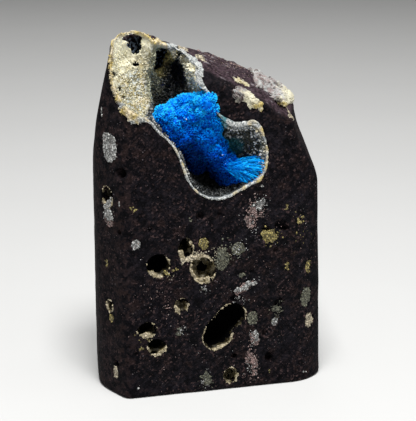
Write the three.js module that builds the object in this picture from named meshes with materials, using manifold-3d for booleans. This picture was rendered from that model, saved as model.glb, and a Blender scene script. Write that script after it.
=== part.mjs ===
// A hand specimen of cavansite: a sawn block of dark vesicular basalt, taller than wide, with an open
// pocket near its top. A thin zeolite shell lines the pocket, and a knobbly blue cluster stands in it.
// Millimetres, +Z up. The origin is the middle of the flat sawn base, and the display face looks along -Y.
import * as THREE from 'three';
import { mergeVertices } from 'three/addons/utils/BufferGeometryUtils.js';
import Module from 'manifold-3d';

const wasm = await Module();
wasm.setup();

// Driving dimensions.
const HEIGHT = 60;
const FRONT_Y = -12.5;
const BACK_Y = 12.5;
const LEFT_X = -20.3;
const RIGHT_X = 18.9;
const RIGHT_ROUND = 7.8; // radius of the ground corner between the display face and the right side
const BASE_BEVEL = 0.7;
const LINING = 0.6; // zeolite shell on the pocket's wall
const RIM = 0.5; // zeolite shell in the small gas holes
const GAP = 0.3; // clearance kept between a piece and the rock around it
const MIDDLE_X = (LEFT_X + RIGHT_X) / 2; // the plan is drawn off centre, and each piece is moved back by this
const BEYOND = 80; // larger than the block, for tools that cut a whole side away
const TOP_FACING = [0.46, -0.25, 1]; // the way the broken top looks

// Colours and finishes of the minerals.
const FINISH = {
  basalt: { color: 0x2b2627, roughness: 0.85 },
  zeolite: { color: 0xd9cfb4, roughness: 0.6 },
  cavansite: { color: 0x0a6fd6, roughness: 0.4 },
  white: { color: 0xd6d3cc, roughness: 0.6 },
  celadon: { color: 0x6d7360, roughness: 0.7 },
  yellow: { color: 0xc9b35a, roughness: 0.6 },
  pink: { color: 0xb59a92, roughness: 0.7 },
};

const group = new THREE.Group();

// Solids.

function toSolid(geometry) {
  const bare = geometry.clone();
  bare.deleteAttribute('normal');
  bare.deleteAttribute('uv');
  const merged = mergeVertices(bare, 1e-4);
  return new wasm.Manifold(new wasm.Mesh({
    numProp: 3,
    vertProperties: merged.attributes.position.array,
    triVerts: new Uint32Array(merged.index.array),
  }));
}

function toGeometry(solid) {
  const mesh = solid.getMesh();
  const geometry = new THREE.BufferGeometry();
  geometry.setAttribute('position', new THREE.BufferAttribute(mesh.vertProperties, 3));
  geometry.setIndex(new THREE.BufferAttribute(mesh.triVerts, 1));
  geometry.computeVertexNormals();
  return geometry;
}

function unite(solids) {
  return solids.reduce((all, one) => all.add(one));
}

function largest(solid) {
  return solid.decompose().reduce((best, one) => (one.volume() > best.volume() ? one : best));
}

function addPiece(name, solid, finish) {
  const material = new THREE.MeshStandardMaterial({ ...FINISH[finish], metalness: 0 });
  const mesh = new THREE.Mesh(toGeometry(solid), material);
  mesh.name = name;
  mesh.position.x = -MIDDLE_X;
  group.add(mesh);
}

// A pebble shape: a sphere stretched to three radii, turned about Y by tilt and about Z by swing, in degrees.
function pebble({ at, radii, tilt = 0, swing = 0, around = 16, grow = 0 }) {
  const [rx, ry, rz] = radii.map((r) => r + grow);
  const ball = new THREE.SphereGeometry(1, around, Math.max(5, Math.round(around / 2)));
  ball.rotateX(Math.PI / 2);
  ball.scale(rx, ry, rz);
  ball.rotateY(THREE.MathUtils.degToRad(tilt));
  ball.rotateZ(THREE.MathUtils.degToRad(swing));
  ball.translate(...at);
  return toSolid(ball);
}

// Everything on the far side of a plane through a point, for cutting one side of the block away.
function beyond(point, normal) {
  const slab = new THREE.BoxGeometry(BEYOND, BEYOND, BEYOND);
  slab.translate(0, 0, BEYOND / 2);
  const up = new THREE.Vector3(0, 0, 1);
  const out = new THREE.Vector3(...normal).normalize();
  slab.applyQuaternion(new THREE.Quaternion().setFromUnitVectors(up, out));
  slab.translate(...point);
  return toSolid(slab);
}

// The block before it is hollowed out: the sawn plan carried up, then the broken top and the ground corners.
function blockEnvelope() {
  const plan = new THREE.Shape();
  plan.moveTo(-16.4, FRONT_Y);
  plan.lineTo(RIGHT_X - RIGHT_ROUND, FRONT_Y);
  plan.absarc(RIGHT_X - RIGHT_ROUND, FRONT_Y + RIGHT_ROUND, RIGHT_ROUND, -Math.PI / 2, 0, false);
  plan.lineTo(RIGHT_X, 8);
  plan.quadraticCurveTo(RIGHT_X - 0.4, BACK_Y, 12, BACK_Y);
  plan.lineTo(-14.5, BACK_Y);
  plan.quadraticCurveTo(-17.6, BACK_Y - 0.3, -18.4, 8.4);
  plan.lineTo(LEFT_X + 0.2, -2.4);
  plan.quadraticCurveTo(LEFT_X - 0.2, -5.2, -19.5, -7.4);
  plan.lineTo(-18, -11);
  plan.quadraticCurveTo(-17.3, FRONT_Y, -16.4, FRONT_Y);
  const prism = new THREE.ExtrudeGeometry(plan, {
    depth: HEIGHT + 10 - 2 * BASE_BEVEL,
    curveSegments: 7,
    bevelEnabled: true,
    bevelSegments: 1,
    bevelSize: BASE_BEVEL,
    bevelOffset: -BASE_BEVEL,
    bevelThickness: BASE_BEVEL,
  });
  prism.translate(0, 0, BASE_BEVEL);
  const shoulder = beyond([13.1, -8, 43], [1, -0.33, 0.56]).intersect(beyond([14.9, 0, 43], [1, -0.33, 0]));
  const cuts = [
    shoulder, // the ground shoulder on the right
    beyond([0, 0, HEIGHT], [0, 0, 1]),
    beyond([0, 0, 54.1], TOP_FACING), // the broken top, falling to the right and a little to the front
    beyond([5.6, FRONT_Y, 48], [0.55, -0.45, 1]), // its front edge is chipped
    beyond([-7, 0, 57.3], [0.33, 0.15, 1]), // the hump behind the pocket
    beyond([-16.2, -6, 59], [-1.07, 0.35, 1]), // the left shoulder of the peak
    beyond([-12.5, -4.4, 60.4], [0, 0.63, 1]), // the peak falls away behind its rim
    beyond([11, 0, 49], [0.81, -0.08, 1]), // the top is steeper under the big crust
    beyond([-19.5, 0, 43], [-1, 0.26, 0.23]), // the left side leans in near the top
    beyond([-17.4, FRONT_Y, 42], [-0.9, -0.5, 0.16]), // and so does the left corner
    beyond([18.1, -7.4, 0], [1, -0.05, 0.05]), // the right side leans in a little all the way up
    beyond([0, BACK_Y, 47], [0, 1, 0.3]), // the back edge of the top is worn
  ];
  return cuts.reduce((block, cut) => block.subtract(cut), toSolid(prism));
}

// The pocket.

// The middle of the pocket's pale rim on the display face, as x and z, from its top left round by the bottom.
const MOUTH_CENTRE = new THREE.Vector2(-3.4, 41.5);
const MOUTH = new THREE.SplineCurve([
  [-13.1, 47.8], [-10.3, 43.2], [-8.1, 39.8], [-6.6, 35.8], [-2.3, 33.3], [1.6, 34.5], [5, 36.2],
  [6.5, 38.4], [6.4, 42.3], [4.5, 45.4], [1.2, 45.5], [-2, 47.9], [-4, 51.5], [-8.5, 53], [-13.1, 47.8],
].map(([x, z]) => new THREE.Vector2(x, z)));
const POCKET_DEPTH = 11;
const NICHE_RISE = 5.5; // how much shallower the pocket is in the niche on its right
const NICHE_FROM_X = -2; // the floor rises from here
const NICHE_TO_X = 2.5; // to here
const POCKET_FRONT = 5; // how far the tool that hollows the pocket stands out in front of the display face
const POCKET_FULLNESS = 0.8; // below 1 the pocket's wall stays steep for longer behind the rim

// The pocket's main hollow: half a ball behind the display face, stretched so that its rim is the mouth.
function mouthBowl(grow) {
  const bowl = new THREE.SphereGeometry(1, 32, 12);
  const position = bowl.attributes.position;
  for (let i = 0; i < position.count; i++) {
    const depth = THREE.MathUtils.clamp(position.getY(i), -1, 1);
    const spread = Math.sqrt(1 - depth * depth);
    const turn = (Math.atan2(position.getZ(i), position.getX(i)) / (2 * Math.PI) + 1.5) % 1;
    const rim = MOUTH.getPoint(turn).sub(MOUTH_CENTRE);
    rim.setLength(rim.length() + grow - LINING / 2).multiplyScalar(spread ** POCKET_FULLNESS);
    const shelf = NICHE_RISE * THREE.MathUtils.smoothstep(MOUTH_CENTRE.x + rim.x, NICHE_FROM_X, NICHE_TO_X);
    const back = depth > 0 ? depth * (POCKET_DEPTH - shelf + grow) : depth * POCKET_FRONT;
    position.setXYZ(i, MOUTH_CENTRE.x + rim.x, FRONT_Y + back, MOUTH_CENTRE.y + rim.y);
  }
  return toSolid(bowl);
}

// The chimney that opens through the top, and the broken lobe below the peak.
const CHIMNEY = { at: [-7.7, -7.6, 50.5], radii: [4.3, 6.6, 10], around: 18 };
const LOBE = { at: [-14, -15.5, 56.6], radii: [5.9, 11.5, 9.9], around: 20 };

function pocket(grow) {
  return unite([mouthBowl(grow), pebble({ ...CHIMNEY, grow }), pebble({ ...LOBE, grow })]);
}

// Dark hollows that break through the cream crust under the peak.
const PEAK_HOLLOWS = [
  { at: [-13.5, -4.2, 57.8], radii: [1.6, 1.4, 1.3], around: 10 },
  { at: [-9.2, -2.6, 55], radii: [1.6, 2.2, 1.8], around: 10 },
];

// The gas holes. A place is x and z on the display face and the back, y and z on the left corner, and on the
// round right corner the turn round it in degrees and z. Sink sets a hole's middle behind the surface.

const LEFT_CORNER_X = -17; // where the left corner's flat would meet the display face
const LEFT_CORNER_TURN = 65; // degrees from the display face's direction to that of the flat

const SIDES = {
  front: (x, z, sink) => ({ at: [x, FRONT_Y + sink, z], swing: 0 }),
  left: (y, z, sink) => {
    const around = THREE.MathUtils.degToRad(LEFT_CORNER_TURN);
    const x = LEFT_CORNER_X - (y - FRONT_Y) / Math.tan(around);
    return { at: [x + sink * Math.sin(around), y + sink * Math.cos(around), z], swing: -LEFT_CORNER_TURN };
  },
  right: (turn, z, sink) => {
    const around = THREE.MathUtils.degToRad(turn);
    const reach = RIGHT_ROUND - sink;
    const x = RIGHT_X - RIGHT_ROUND + reach * Math.sin(around);
    return { at: [x, FRONT_Y + RIGHT_ROUND - reach * Math.cos(around), z], swing: turn };
  },
  back: (x, z, sink) => ({ at: [x, BACK_Y - sink, z], swing: 0 }),
};

function holeShape({ side, place, size, depth, tilt = 0, sink = 0, around = 8 }) {
  const [across, z] = place;
  const { at, swing } = SIDES[side](across, z, sink);
  return { at, radii: [size[0], depth, size[1]], tilt, swing, around };
}

// Open gas holes: the half widths and the depth are those of the hollow, inside its thin lining.
const OPEN_HOLES = {
  bean: { side: 'front', place: [-0.5, 11.3], size: [2.4, 4.2], depth: 6, tilt: 42, sink: 1, around: 16 },
  round: { side: 'front', place: [-11.6, 22.6], size: [1.6, 1.6], depth: 4, tilt: 35, sink: 0.6, around: 12 },
  twin: { side: 'front', place: [-7, 25.3], size: [0.9, 1.5], depth: 3, sink: 0.4, around: 12 },
  ring: { side: 'front', place: [-4.2, 21.6], size: [1.7, 2.2], depth: 2, tilt: -15, sink: 0.3, around: 12 },
  olive: { side: 'front', place: [-7.8, 15.5], size: [0.9, 1], depth: 1.4, around: 10 },
  star: { side: 'left', place: [-8.4, 15.2], size: [0.7, 0.7], depth: 1.2, around: 8 },
  base: { side: 'front', place: [0.7, 2.4], size: [0.9, 1.1], depth: 2, around: 10 },
  lower: { side: 'front', place: [-12, 8.7], size: [1.3, 1.1], depth: 2.4, tilt: 20, around: 10 },
  upper: { side: 'front', place: [-13.6, 11.8], size: [1.3, 1], depth: 2, around: 10 },
  side: { side: 'left', place: [-8.3, 33.7], size: [1.3, 1.5], depth: 2.2, around: 10 },
  back_deep: { side: 'back', place: [4, 30], size: [2.4, 3.1], depth: 4, tilt: -25, sink: 0.6, around: 12 },
  back_low: { side: 'back', place: [-9, 14], size: [1.9, 1.6], depth: 3, sink: 0.4, around: 10 },
};

// Filled gas holes, each one plug of mineral from face to root.
const FILLED_HOLES = {
  white_plug: { side: 'left', place: [-9, 42], size: [1.9, 2.2], depth: 1.4, finish: 'white' },
  pink_plug: { side: 'left', place: [-8.5, 30], size: [1.4, 1.3], depth: 1.2, finish: 'pink' },
  pale_spot: { side: 'front', place: [-15.3, 26.5], size: [0.85, 1], depth: 1, finish: 'white' },
  tan_plug: { side: 'front', place: [-4, 25.9], size: [0.9, 1.1], depth: 1.1, finish: 'yellow' },
  green_plug: { side: 'front', place: [1.8, 24.6], size: [1.3, 1.25], depth: 1.3, finish: 'celadon' },
  moss_plug: { side: 'front', place: [-0.7, 22.6], size: [1, 1.7], depth: 1.2, tilt: 25, finish: 'celadon' },
  olive_plug: { side: 'front', place: [4.4, 12.3], size: [1.05, 1.1], depth: 1.1, finish: 'celadon' },
  pink_streak: { side: 'front', place: [2.9, 17.8], size: [0.75, 2.1], depth: 0.9, tilt: 58, finish: 'pink' },
  pink_grain: { side: 'front', place: [4.7, 8.6], size: [0.9, 1.2], depth: 0.9, finish: 'pink' },
  gold_plug: { side: 'front', place: [7.4, 26.3], size: [1.35, 1.1], depth: 1, finish: 'yellow' },
  small_plug: { side: 'front', place: [8.3, 11.3], size: [0.6, 0.8], depth: 0.7, finish: 'white' },
  ringed_plug: { side: 'right', place: [28, 10.8], size: [1.1, 1.5], depth: 1, finish: 'zeolite' },
  grey_plug: { side: 'right', place: [21, 15.1], size: [1.1, 1.7], depth: 1, finish: 'celadon' },
  amber_plug: { side: 'right', place: [24, 20.3], size: [0.65, 1.3], depth: 0.8, finish: 'yellow' },
  star_plug: { side: 'left', place: [-8.7, 13.3], size: [0.8, 0.75], depth: 0.8, finish: 'yellow' },
  cream_plug: { side: 'left', place: [-9.6, 3.9], size: [0.8, 1.1], depth: 0.8, finish: 'zeolite' },
  back_plug: { side: 'back', place: [-3, 40], size: [1.6, 1.3], depth: 1.3, finish: 'zeolite' },
  back_spot: { side: 'back', place: [9, 17], size: [1.2, 1.4], depth: 1.1, finish: 'celadon' },
};

// Crusts left on the broken top. They lie in shallow beds and stand a little proud.
const CRUSTS = {
  ridge_crust: { at: [11.6, 1.4, 48.5], radii: [6, 3.2, 1.4], swing: -62, around: 14 },
  fan_crust: { at: [3.6, -11.2, 49.7], radii: [3.1, 2, 1.2], swing: 12, around: 12 },
  strip_crust: { at: [3.9, -5.8, 51.1], radii: [1.7, 0.8, 0.8], swing: -14, around: 8 },
};
const TOP_LEAN = new THREE.Quaternion().setFromUnitVectors(
  new THREE.Vector3(0, 0, 1),
  new THREE.Vector3(...TOP_FACING).normalize(),
);

function crust({ at, radii, swing, around }, grow = 0) {
  const ball = new THREE.SphereGeometry(1, around, around / 2);
  ball.rotateX(Math.PI / 2);
  ball.scale(...radii.map((r) => r + grow));
  ball.rotateZ(THREE.MathUtils.degToRad(swing));
  ball.applyQuaternion(TOP_LEAN);
  ball.translate(...at);
  return toSolid(ball);
}

// The cavansite: rounded heads of blades, grown together up a leaning column, with a fan at its foot.
const HEADS = [
  { at: [-8.9, -9.2, 45.9], r: 3 },
  { at: [-6.6, -8.4, 46.9], r: 3 },
  { at: [-4.2, -9.6, 47.1], r: 3.1 },
  { at: [-3.8, -10.9, 48.5], r: 2.4 },
  { at: [-2.7, -10.3, 46.1], r: 2.2 },
  { at: [-6.9, -9.4, 43.6], r: 3 },
  { at: [-3.5, -9.8, 44.3], r: 2.9 },
  { at: [-4.6, -5.6, 43.5], r: 3.2 },
  { at: [-4.4, -8.4, 41.4], r: 2.7 },
  { at: [-1.9, -9.2, 41.4], r: 2.6 },
  { at: [-1.6, -5.6, 39.5], r: 3.2 },
  { at: [-0.1, -9, 38.8], r: 2.4 },
  { at: [-4.3, -7.6, 39], r: 2.2 },
  { at: [0.8, -9, 36.2], r: 1.9 },
  { at: [2.6, -9.8, 37.6], r: 2.3 },
  { at: [4.4, -10, 38.2], r: 1.9 },
];

const BIG_HEAD = 2.8; // heads over this radius get finer facets
const HEAD_SPIN = 1.3; // each head is turned on from the last one, so that their facets don't line up
const HEAD_ROLL = 0.7;

function cluster() {
  const knobs = HEADS.map(({ at, r }, i) => {
    const knob = new THREE.IcosahedronGeometry(r, r > BIG_HEAD ? 2 : 1);
    knob.rotateZ(i * HEAD_SPIN);
    knob.rotateX(i * HEAD_ROLL);
    knob.translate(...at);
    return toSolid(knob);
  });
  return unite(knobs);
}

// The pieces.

const envelope = blockEnvelope();
const hollows = PEAK_HOLLOWS.map(pebble);
const shapesOf = (holes) => Object.entries(holes).map(([name, hole]) => [name, holeShape(hole)]);
const openShapes = shapesOf(OPEN_HOLES);
const filledShapes = shapesOf(FILLED_HOLES);

const removed = unite([
  pocket(LINING + GAP),
  ...hollows,
  ...openShapes.map(([, shape]) => pebble({ ...shape, grow: RIM + GAP })),
  ...filledShapes.map(([, shape]) => pebble({ ...shape, grow: GAP })),
  ...Object.values(CRUSTS).map((shape) => crust(shape, GAP)),
]);
addPiece('basalt_matrix', largest(envelope.subtract(removed)), 'basalt');

const shell = pocket(LINING).subtract(pocket(0)).intersect(envelope);
addPiece('pocket_lining', largest(shell.subtract(unite(hollows))), 'zeolite');

const clearPocket = pocket(-GAP);
addPiece('cavansite', largest(cluster().intersect(clearPocket)), 'cavansite');

for (const [name, shape] of Object.entries(CRUSTS)) {
  addPiece(name, crust(shape), 'zeolite');
}

for (const [name, shape] of openShapes) {
  const cup = pebble({ ...shape, grow: RIM }).subtract(pebble(shape)).intersect(envelope);
  addPiece(`${name}_lining`, largest(cup), 'zeolite');
}

for (const [name, shape] of filledShapes) {
  addPiece(name, largest(pebble(shape).intersect(envelope)), FILLED_HOLES[name].finish);
}

export default group;
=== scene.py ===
"""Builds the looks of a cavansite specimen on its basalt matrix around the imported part.

The building functions work in millimetres in the block's drawing frame: x runs to the right along the
sawn front, y runs back from it and z up from the sawn base. A mesh becomes metres when it is made.
"""
import math

import bpy
import numpy as np
from bpy.props import FloatProperty, FloatVectorProperty, IntProperty, PointerProperty
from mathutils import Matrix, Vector


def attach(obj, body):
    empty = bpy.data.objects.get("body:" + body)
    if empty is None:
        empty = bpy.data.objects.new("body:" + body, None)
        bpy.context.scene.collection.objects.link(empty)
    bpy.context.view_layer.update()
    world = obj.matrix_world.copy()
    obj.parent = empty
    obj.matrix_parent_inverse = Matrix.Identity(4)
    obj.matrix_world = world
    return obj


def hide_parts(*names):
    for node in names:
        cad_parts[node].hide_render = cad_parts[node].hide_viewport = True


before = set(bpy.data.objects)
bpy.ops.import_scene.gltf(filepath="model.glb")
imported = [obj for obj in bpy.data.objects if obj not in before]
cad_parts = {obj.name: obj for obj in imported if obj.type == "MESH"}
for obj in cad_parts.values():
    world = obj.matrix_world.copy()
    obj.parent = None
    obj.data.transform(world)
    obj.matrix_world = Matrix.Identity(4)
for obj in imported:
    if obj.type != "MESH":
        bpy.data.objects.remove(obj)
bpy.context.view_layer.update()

bl_info = {
    "name": "Cavansite Specimen",
    "version": (1, 0, 0),
    "blender": (4, 5, 0),
    "location": "3D View > Sidebar > Specimen",
    "description": "Builds a blue cavansite cluster in a zeolite-lined pocket of dark basalt",
    "category": "Add Mesh",
}

# ---------------------------------------------------------------- the block and its holes, in millimetres

MM = 0.001
MIDDLE_X = -0.7  # the middle of the base in the drawing frame
HEIGHT, FRONT, BACK, LEFT, RIGHT, CORNER = 60.0, -12.5, 12.5, -20.3, 18.9, 7.8

# Cuts as a point and an outward direction: the broken ones are the rough top, the ground ones are worn sides.
BROKEN_CUTS = (
    ((0, 0, HEIGHT + 1.8), (0, 0, 1)),
    ((0, 0, 54.96), (0.46, -0.248, 1)),
    ((5.6, FRONT, 48.6), (0.55, -0.45, 1)),
    ((-7, 0, 57.9), (0.33, 0.15, 1)),
    ((-16.2, -6, 59.8), (-1.07, 0.35, 1)),
    ((-12.5, -4.4, 60.9), (0, 0.63, 1)),
    ((11, 0, 49.46), (0.81, -0.08, 1)),
)
GROUND_CUTS = (
    ((-19.5, 0, 43), (-1, 0.26, 0.23)),
    ((-17.4, FRONT, 42), (-0.9, -0.5, 0.16)),
    ((18.1, -7.4, 0), (1, -0.05, 0.05)),
    ((0, BACK, 47), (0, 1, 0.3)),
)
SHOULDER = (((13.1, -8, 43), (1, -0.33, 0.56)), ((14.9, 0, 43), (1, -0.33, 0)))  # only where both cut
# How softly the cuts run into each other, and how high the relief on the sides and on the top stands.
TOP_BLEND, SIDE_BLEND, SHOULDER_BLEND, EDGE_BLEND, BASE_BLEND = 1.6, 0.9, 1.5, 0.5, 0.7
SIDE_RELIEF, TOP_RELIEF, CHIP_DEPTH = 0.09, 0.75, 0.8
# The left corner's face: where it starts at the front, how far left it runs for each step back, the way into
# the stone, and its turn in degrees.
CORNER_X, CORNER_RUN, CORNER_IN, CORNER_TURN = -17, 0.467, (0.9, 0.42), -65
# About how high the broken top is, how it falls to the right, and how it rises to the back.
TOP_HEIGHT, TOP_FALL, TOP_RISE = 54.3, 0.46, 0.2

# The pocket's mouth on the front as x and z, from its top left round by the bottom.
MOUTH = (
    (-13.1, 47.8), (-12.3, 46), (-11.2, 44.6), (-9.3, 42.8), (-8, 40.4), (-7.2, 38.2), (-6.4, 36.2),
    (-4.7, 34.3), (-2.4, 33.3), (0, 33.5), (2.9, 34.9), (5.1, 36), (6.3, 37.6), (6.6, 40.9), (5.9, 43.6),
    (4.9, 45.2), (3.4, 45.5), (1.1, 45.3), (-1.2, 46.9), (-2.4, 48.6), (-4, 51.5), (-8.5, 53),
)
POCKET_DEPTH, POCKET_REACH = 11.0, 6.6
NICHE_RISE, NICHE_SLOPE = 5.5, (-2, 2.5)  # the niche on the right is shallower
CHIMNEY = ((-7.7, -7.6, 50.5), (4.3, 6.6, 10))
LOBE = ((-14, -15.5, 56.6), (5.9, 11.5, 9.9))
RECESS = ((-5.7, -2.2, 51), (1.6, 3.6, 6))
CHIMNEY_BLEND, RECESS_BLEND, LOBE_BLEND, BEAN_BLEND = 0.9, 1.2, 0.7, 1.0  # how softly hollows run together
MOUTH_WANDER, WALL_WANDER = 0.07, 0.3  # how far the pocket's wall strays at its mouth, and further in
# Dark hollows that break through the crust under the peak, and small pits along its left edge.
PEAK_HOLLOWS = (
    ((-14, -4.2, 58.8), (1.8, 1.5, 0.65)), ((-13.9, -4, 58), (0.9, 1.6, 0.9)),
    ((-13.2, -4, 57.6), (0.85, 1.8, 1.6)), ((-9, -2.7, 55.5), (2.2, 2.8, 1.45)),
    ((-9.2, -2.4, 54.3), (1.3, 2.3, 1.5)), ((-13.2, -4.5, 54.5), (0.55, 0.8, 0.35)),
    ((-17.5, -6.9, 53.4), (0.8, 1, 0.6)), ((-16.7, -7.5, 51.1), (0.55, 0.8, 0.35)),
    ((-16.6, -8.9, 49.7), (0.9, 0.9, 0.45)),
)
STAINS = ((-7.1, -1.2, 55.2), (-8.2, -1.6, 53.2))  # olive yellow patches beside the second hollow
TEAL = (2.2, -7.4, 40.4)  # and the teal one above the fan
# Where the pocket's shell is thicker: a middle, how far it reaches, and how much thicker.
THICK = (
    ((-15.8, -12, 46.9), 2.8, 0.6), ((-18, -10.5, 49.5), 2.6, 0.3), ((-14, -4.7, 60.2), 3.6, 0.3),
    ((-15.4, -4.3, 57.8), 1.4, 0.4), ((-10.6, -3.9, 58.4), 1.7, 0.45), ((-8.8, -3.1, 57.6), 1.8, 0.35),
    ((0.8, -12.5, 46), 2.2, 0.3), ((3.2, -12.5, 46), 2, 0.3), ((5, -12.5, 45), 1.4, 0.35),
    ((5.4, -12.5, 36), 2, 0.12), ((-3.6, -11, 53), 3, 0.25), ((-4, -6, 54), 4, 0.5), ((-7.5, -3, 57), 4, 0.4),
)

# A hole: side, place, half width, half height, depth, tilt, sink. A place is x and z on the front and back,
# y and z on the left corner, and the turn in degrees and z on the round right corner.
OPEN_HOLES = {
    "bean": ("front", -0.4, 11.2, 2.1, 4.4, 6, 40, 1),
    "round": ("front", -11.6, 22.6, 1.6, 1.6, 4, 35, 0.6),
    "twin": ("front", -7, 25.3, 0.9, 1.5, 3, 0, 0.4),
    "ring": ("front", -4.2, 21.6, 1.7, 2.2, 2, -15, 0.3),
    "olive": ("front", -7.8, 15.5, 0.9, 1, 1.4, 0, 0),
    "star": ("left", -8.4, 15.2, 0.7, 0.7, 1.2, 0, 0),
    "base": ("front", 0.7, 2.4, 0.9, 1.1, 2, 0, 0),
    "lower": ("front", -12, 8.7, 1.3, 1.1, 2.4, 20, 0),
    "upper": ("front", -13.6, 11.8, 1.3, 1, 2, 0, 0),
    "side": ("left", -8.3, 33.7, 1.3, 1.5, 2.2, 0, 0),
    "back_deep": ("back", 4, 30, 2.4, 3.1, 4, -25, 0.6),
    "back_low": ("back", -9, 14, 1.9, 1.6, 3, 0, 0.4),
}
# The bean is two lobes run together, each given like a hole.
BEAN_LOBES = (("front", -1.5, 10.2, 2.1, 2.7, 5.5, 30, 0.6), ("front", 0.5, 12.7, 2.05, 2.7, 5, 60, 0.6))
# How thick each lining is at its top and at its bottom, where the minerals pooled.
LINING_WALLS = {
    "bean": (0.2, 0.34), "round": (0.2, 0.5), "twin": (0.25, 0.4), "ring": (0.5, 0.75), "olive": (0.4, 0.5),
    "star": (0.12, 0.3), "base": (0.25, 0.4), "lower": (0.1, 0.8), "upper": (0.1, 0.75), "side": (0.1, 0.5),
    "back_deep": (0.3, 0.45), "back_low": (0.3, 0.45),
}
OLIVE_HOLES = ("twin", "ring", "olive", "base")  # these are lined all over, with an olive brown floor
LINING_DEPTH, OLIVE_DEPTH = 1.6, 9  # how far in the linings reach
LINING_GRAINS = 70  # how many loose grains lie on the lip of each lining
LINING_BEADS, CRUST_BEADS = (0.06, 0.2), (0.07, 0.22)  # the smallest and the largest of the loose grains
# How much more than its own shape is carved out for the pocket, for a lined hole and for a filled one.
POCKET_SEAT, LINING_SEAT, PLUG_SEAT = 0.2, 0.33, -0.1
PLUG_RISE, SPOT_RISE, SPOT_DEPTH = -0.02, 0.05, 0.5  # how far they stand out, and how deep a spot goes
# A filled hole has no sink, and ends with its mineral.
FILLED_HOLES = {
    "white_plug": ("left", -9, 42, 1.9, 2.2, 1.4, 0, "white"),
    "pink_plug": ("left", -8.5, 30, 1.4, 1.3, 1.2, 0, "pink"),
    "pale_spot": ("front", -15.3, 26.5, 0.85, 1, 1, 0, "white"),
    "tan_plug": ("front", -4, 25.9, 0.9, 1.1, 1.1, 0, "gold"),
    "green_plug": ("front", 1.8, 24.6, 1.3, 1.25, 1.3, 0, "celadon"),
    "moss_plug": ("front", -0.7, 22.6, 1.1, 1.7, 1.2, 25, "celadon"),
    "olive_plug": ("front", 4.4, 12.3, 1.05, 1.1, 1.1, 0, "celadon"),
    "pink_streak": ("front", 2.9, 17.8, 0.75, 2.1, 0.9, 58, "pink"),
    "pink_grain": ("front", 4.7, 8.6, 0.9, 1.2, 0.9, 0, "pink"),
    "gold_plug": ("front", 7.4, 26.3, 1.35, 1.1, 1, 0, "gold"),
    "small_plug": ("front", 8.3, 11.3, 0.6, 0.8, 0.7, 0, "white"),
    "ringed_plug": ("right", 28, 10.8, 1.1, 1.5, 1, 0, "zeolite"),
    "grey_plug": ("right", 21, 15.1, 1.1, 1.7, 1, 0, "celadon"),
    "amber_plug": ("right", 24, 20.3, 0.65, 1.3, 0.8, 0, "gold"),
    "star_plug": ("left", -8.7, 13.3, 0.8, 0.75, 0.8, 0, "gold"),
    "cream_plug": ("left", -9.6, 3.9, 0.8, 1.1, 0.8, 0, "zeolite"),
    "back_plug": ("back", -3, 40, 1.6, 1.3, 1.3, 0, "zeolite"),
    "back_spot": ("back", 9, 17, 1.2, 1.4, 1.1, 0, "celadon"),
}
# Small seats of mineral that are no pieces of their own: side, place, half width, half height, tilt, mineral.
SPOTS = (
    ("front", -15.4, 32.4, 0.9, 0.35, 20, "gold"), ("front", -6.5, 30.1, 0.45, 0.5, 0, "celadon"),
    ("left", -7.8, 22.4, 0.55, 0.6, 0, "gold"), ("front", -8.9, 21.7, 0.55, 0.5, 0, "gold"),
    ("front", -4.9, 24, 0.9, 0.45, 70, "cream"), ("front", 10.1, 30.9, 0.5, 0.8, 0, "gold"),
    ("right", 11.3, 28.6, 0.9, 0.75, 0, "gold"), ("front", 10.3, 20.7, 0.4, 0.9, 0, "gold"),
    ("front", -4.4, 18, 0.6, 0.45, 0, "celadon"), ("front", -8.3, 11.2, 0.75, 0.75, 0, "celadon"),
    ("front", 8.3, 13.5, 0.9, 0.6, 20, "celadon"), ("front", 4, 5.4, 0.9, 1.3, 0, "pink"),
    ("front", -3.5, 2.1, 0.9, 1.1, 0, "celadon"), ("front", 4.9, 2.6, 0.6, 0.7, 0, "pink"),
    ("front", 7.4, 2.6, 0.3, 0.35, 0, "gold"), ("right", 20.3, 1.5, 0.4, 0.35, 0, "white"),
    ("front", -14.7, 8.7, 0.5, 0.45, 0, "gold"), ("left", -6.8, 47.6, 0.35, 1.1, 0, "white"),
    ("front", 2.5, 20, 0.55, 0.5, 0, "celadon"), ("front", 5.8, 35.1, 0.5, 0.4, 0, "white"),
    ("left", -11.4, 33.2, 0.35, 0.6, 0, "white"), ("front", -15.2, 1.8, 0.35, 0.3, 0, "white"),
)
# Small open pits: side, place, half width, half height, depth.
PITS = (
    ("front", 9.7, 27.5, 0.8, 0.65, 1.2), ("front", 6.6, 27.4, 0.7, 0.6, 1.1), ("front", 1.5, 16, 1, 0.6, 1),
    ("front", 7.3, 5, 0.7, 1, 1.2), ("left", -11.1, 28.5, 0.5, 0.4, 0.5),
    ("front", 2.5, 20.1, 0.35, 0.3, 0.5), ("left", -11.5, 38.3, 1, 0.9, 1.2),
    ("left", -9.9, 5.6, 0.6, 0.6, 0.9), ("front", 1.2, 5.9, 0.5, 0.5, 0.8),
)
# Boxes that hold more small pits, anywhere: two corners and how many.
STRAY_PITS = (
    ((18, -4, 3), (20, 11, 42), 16), ((-15, 12, 3), (14, 13, 50), 26), ((-20.5, -6, 4), (-17, 8, 48), 12),
    ((-4, -9, 46), (14, 10, 58), 10), ((-17, -13, 2), (11, -12, 32), 14),
)

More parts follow.
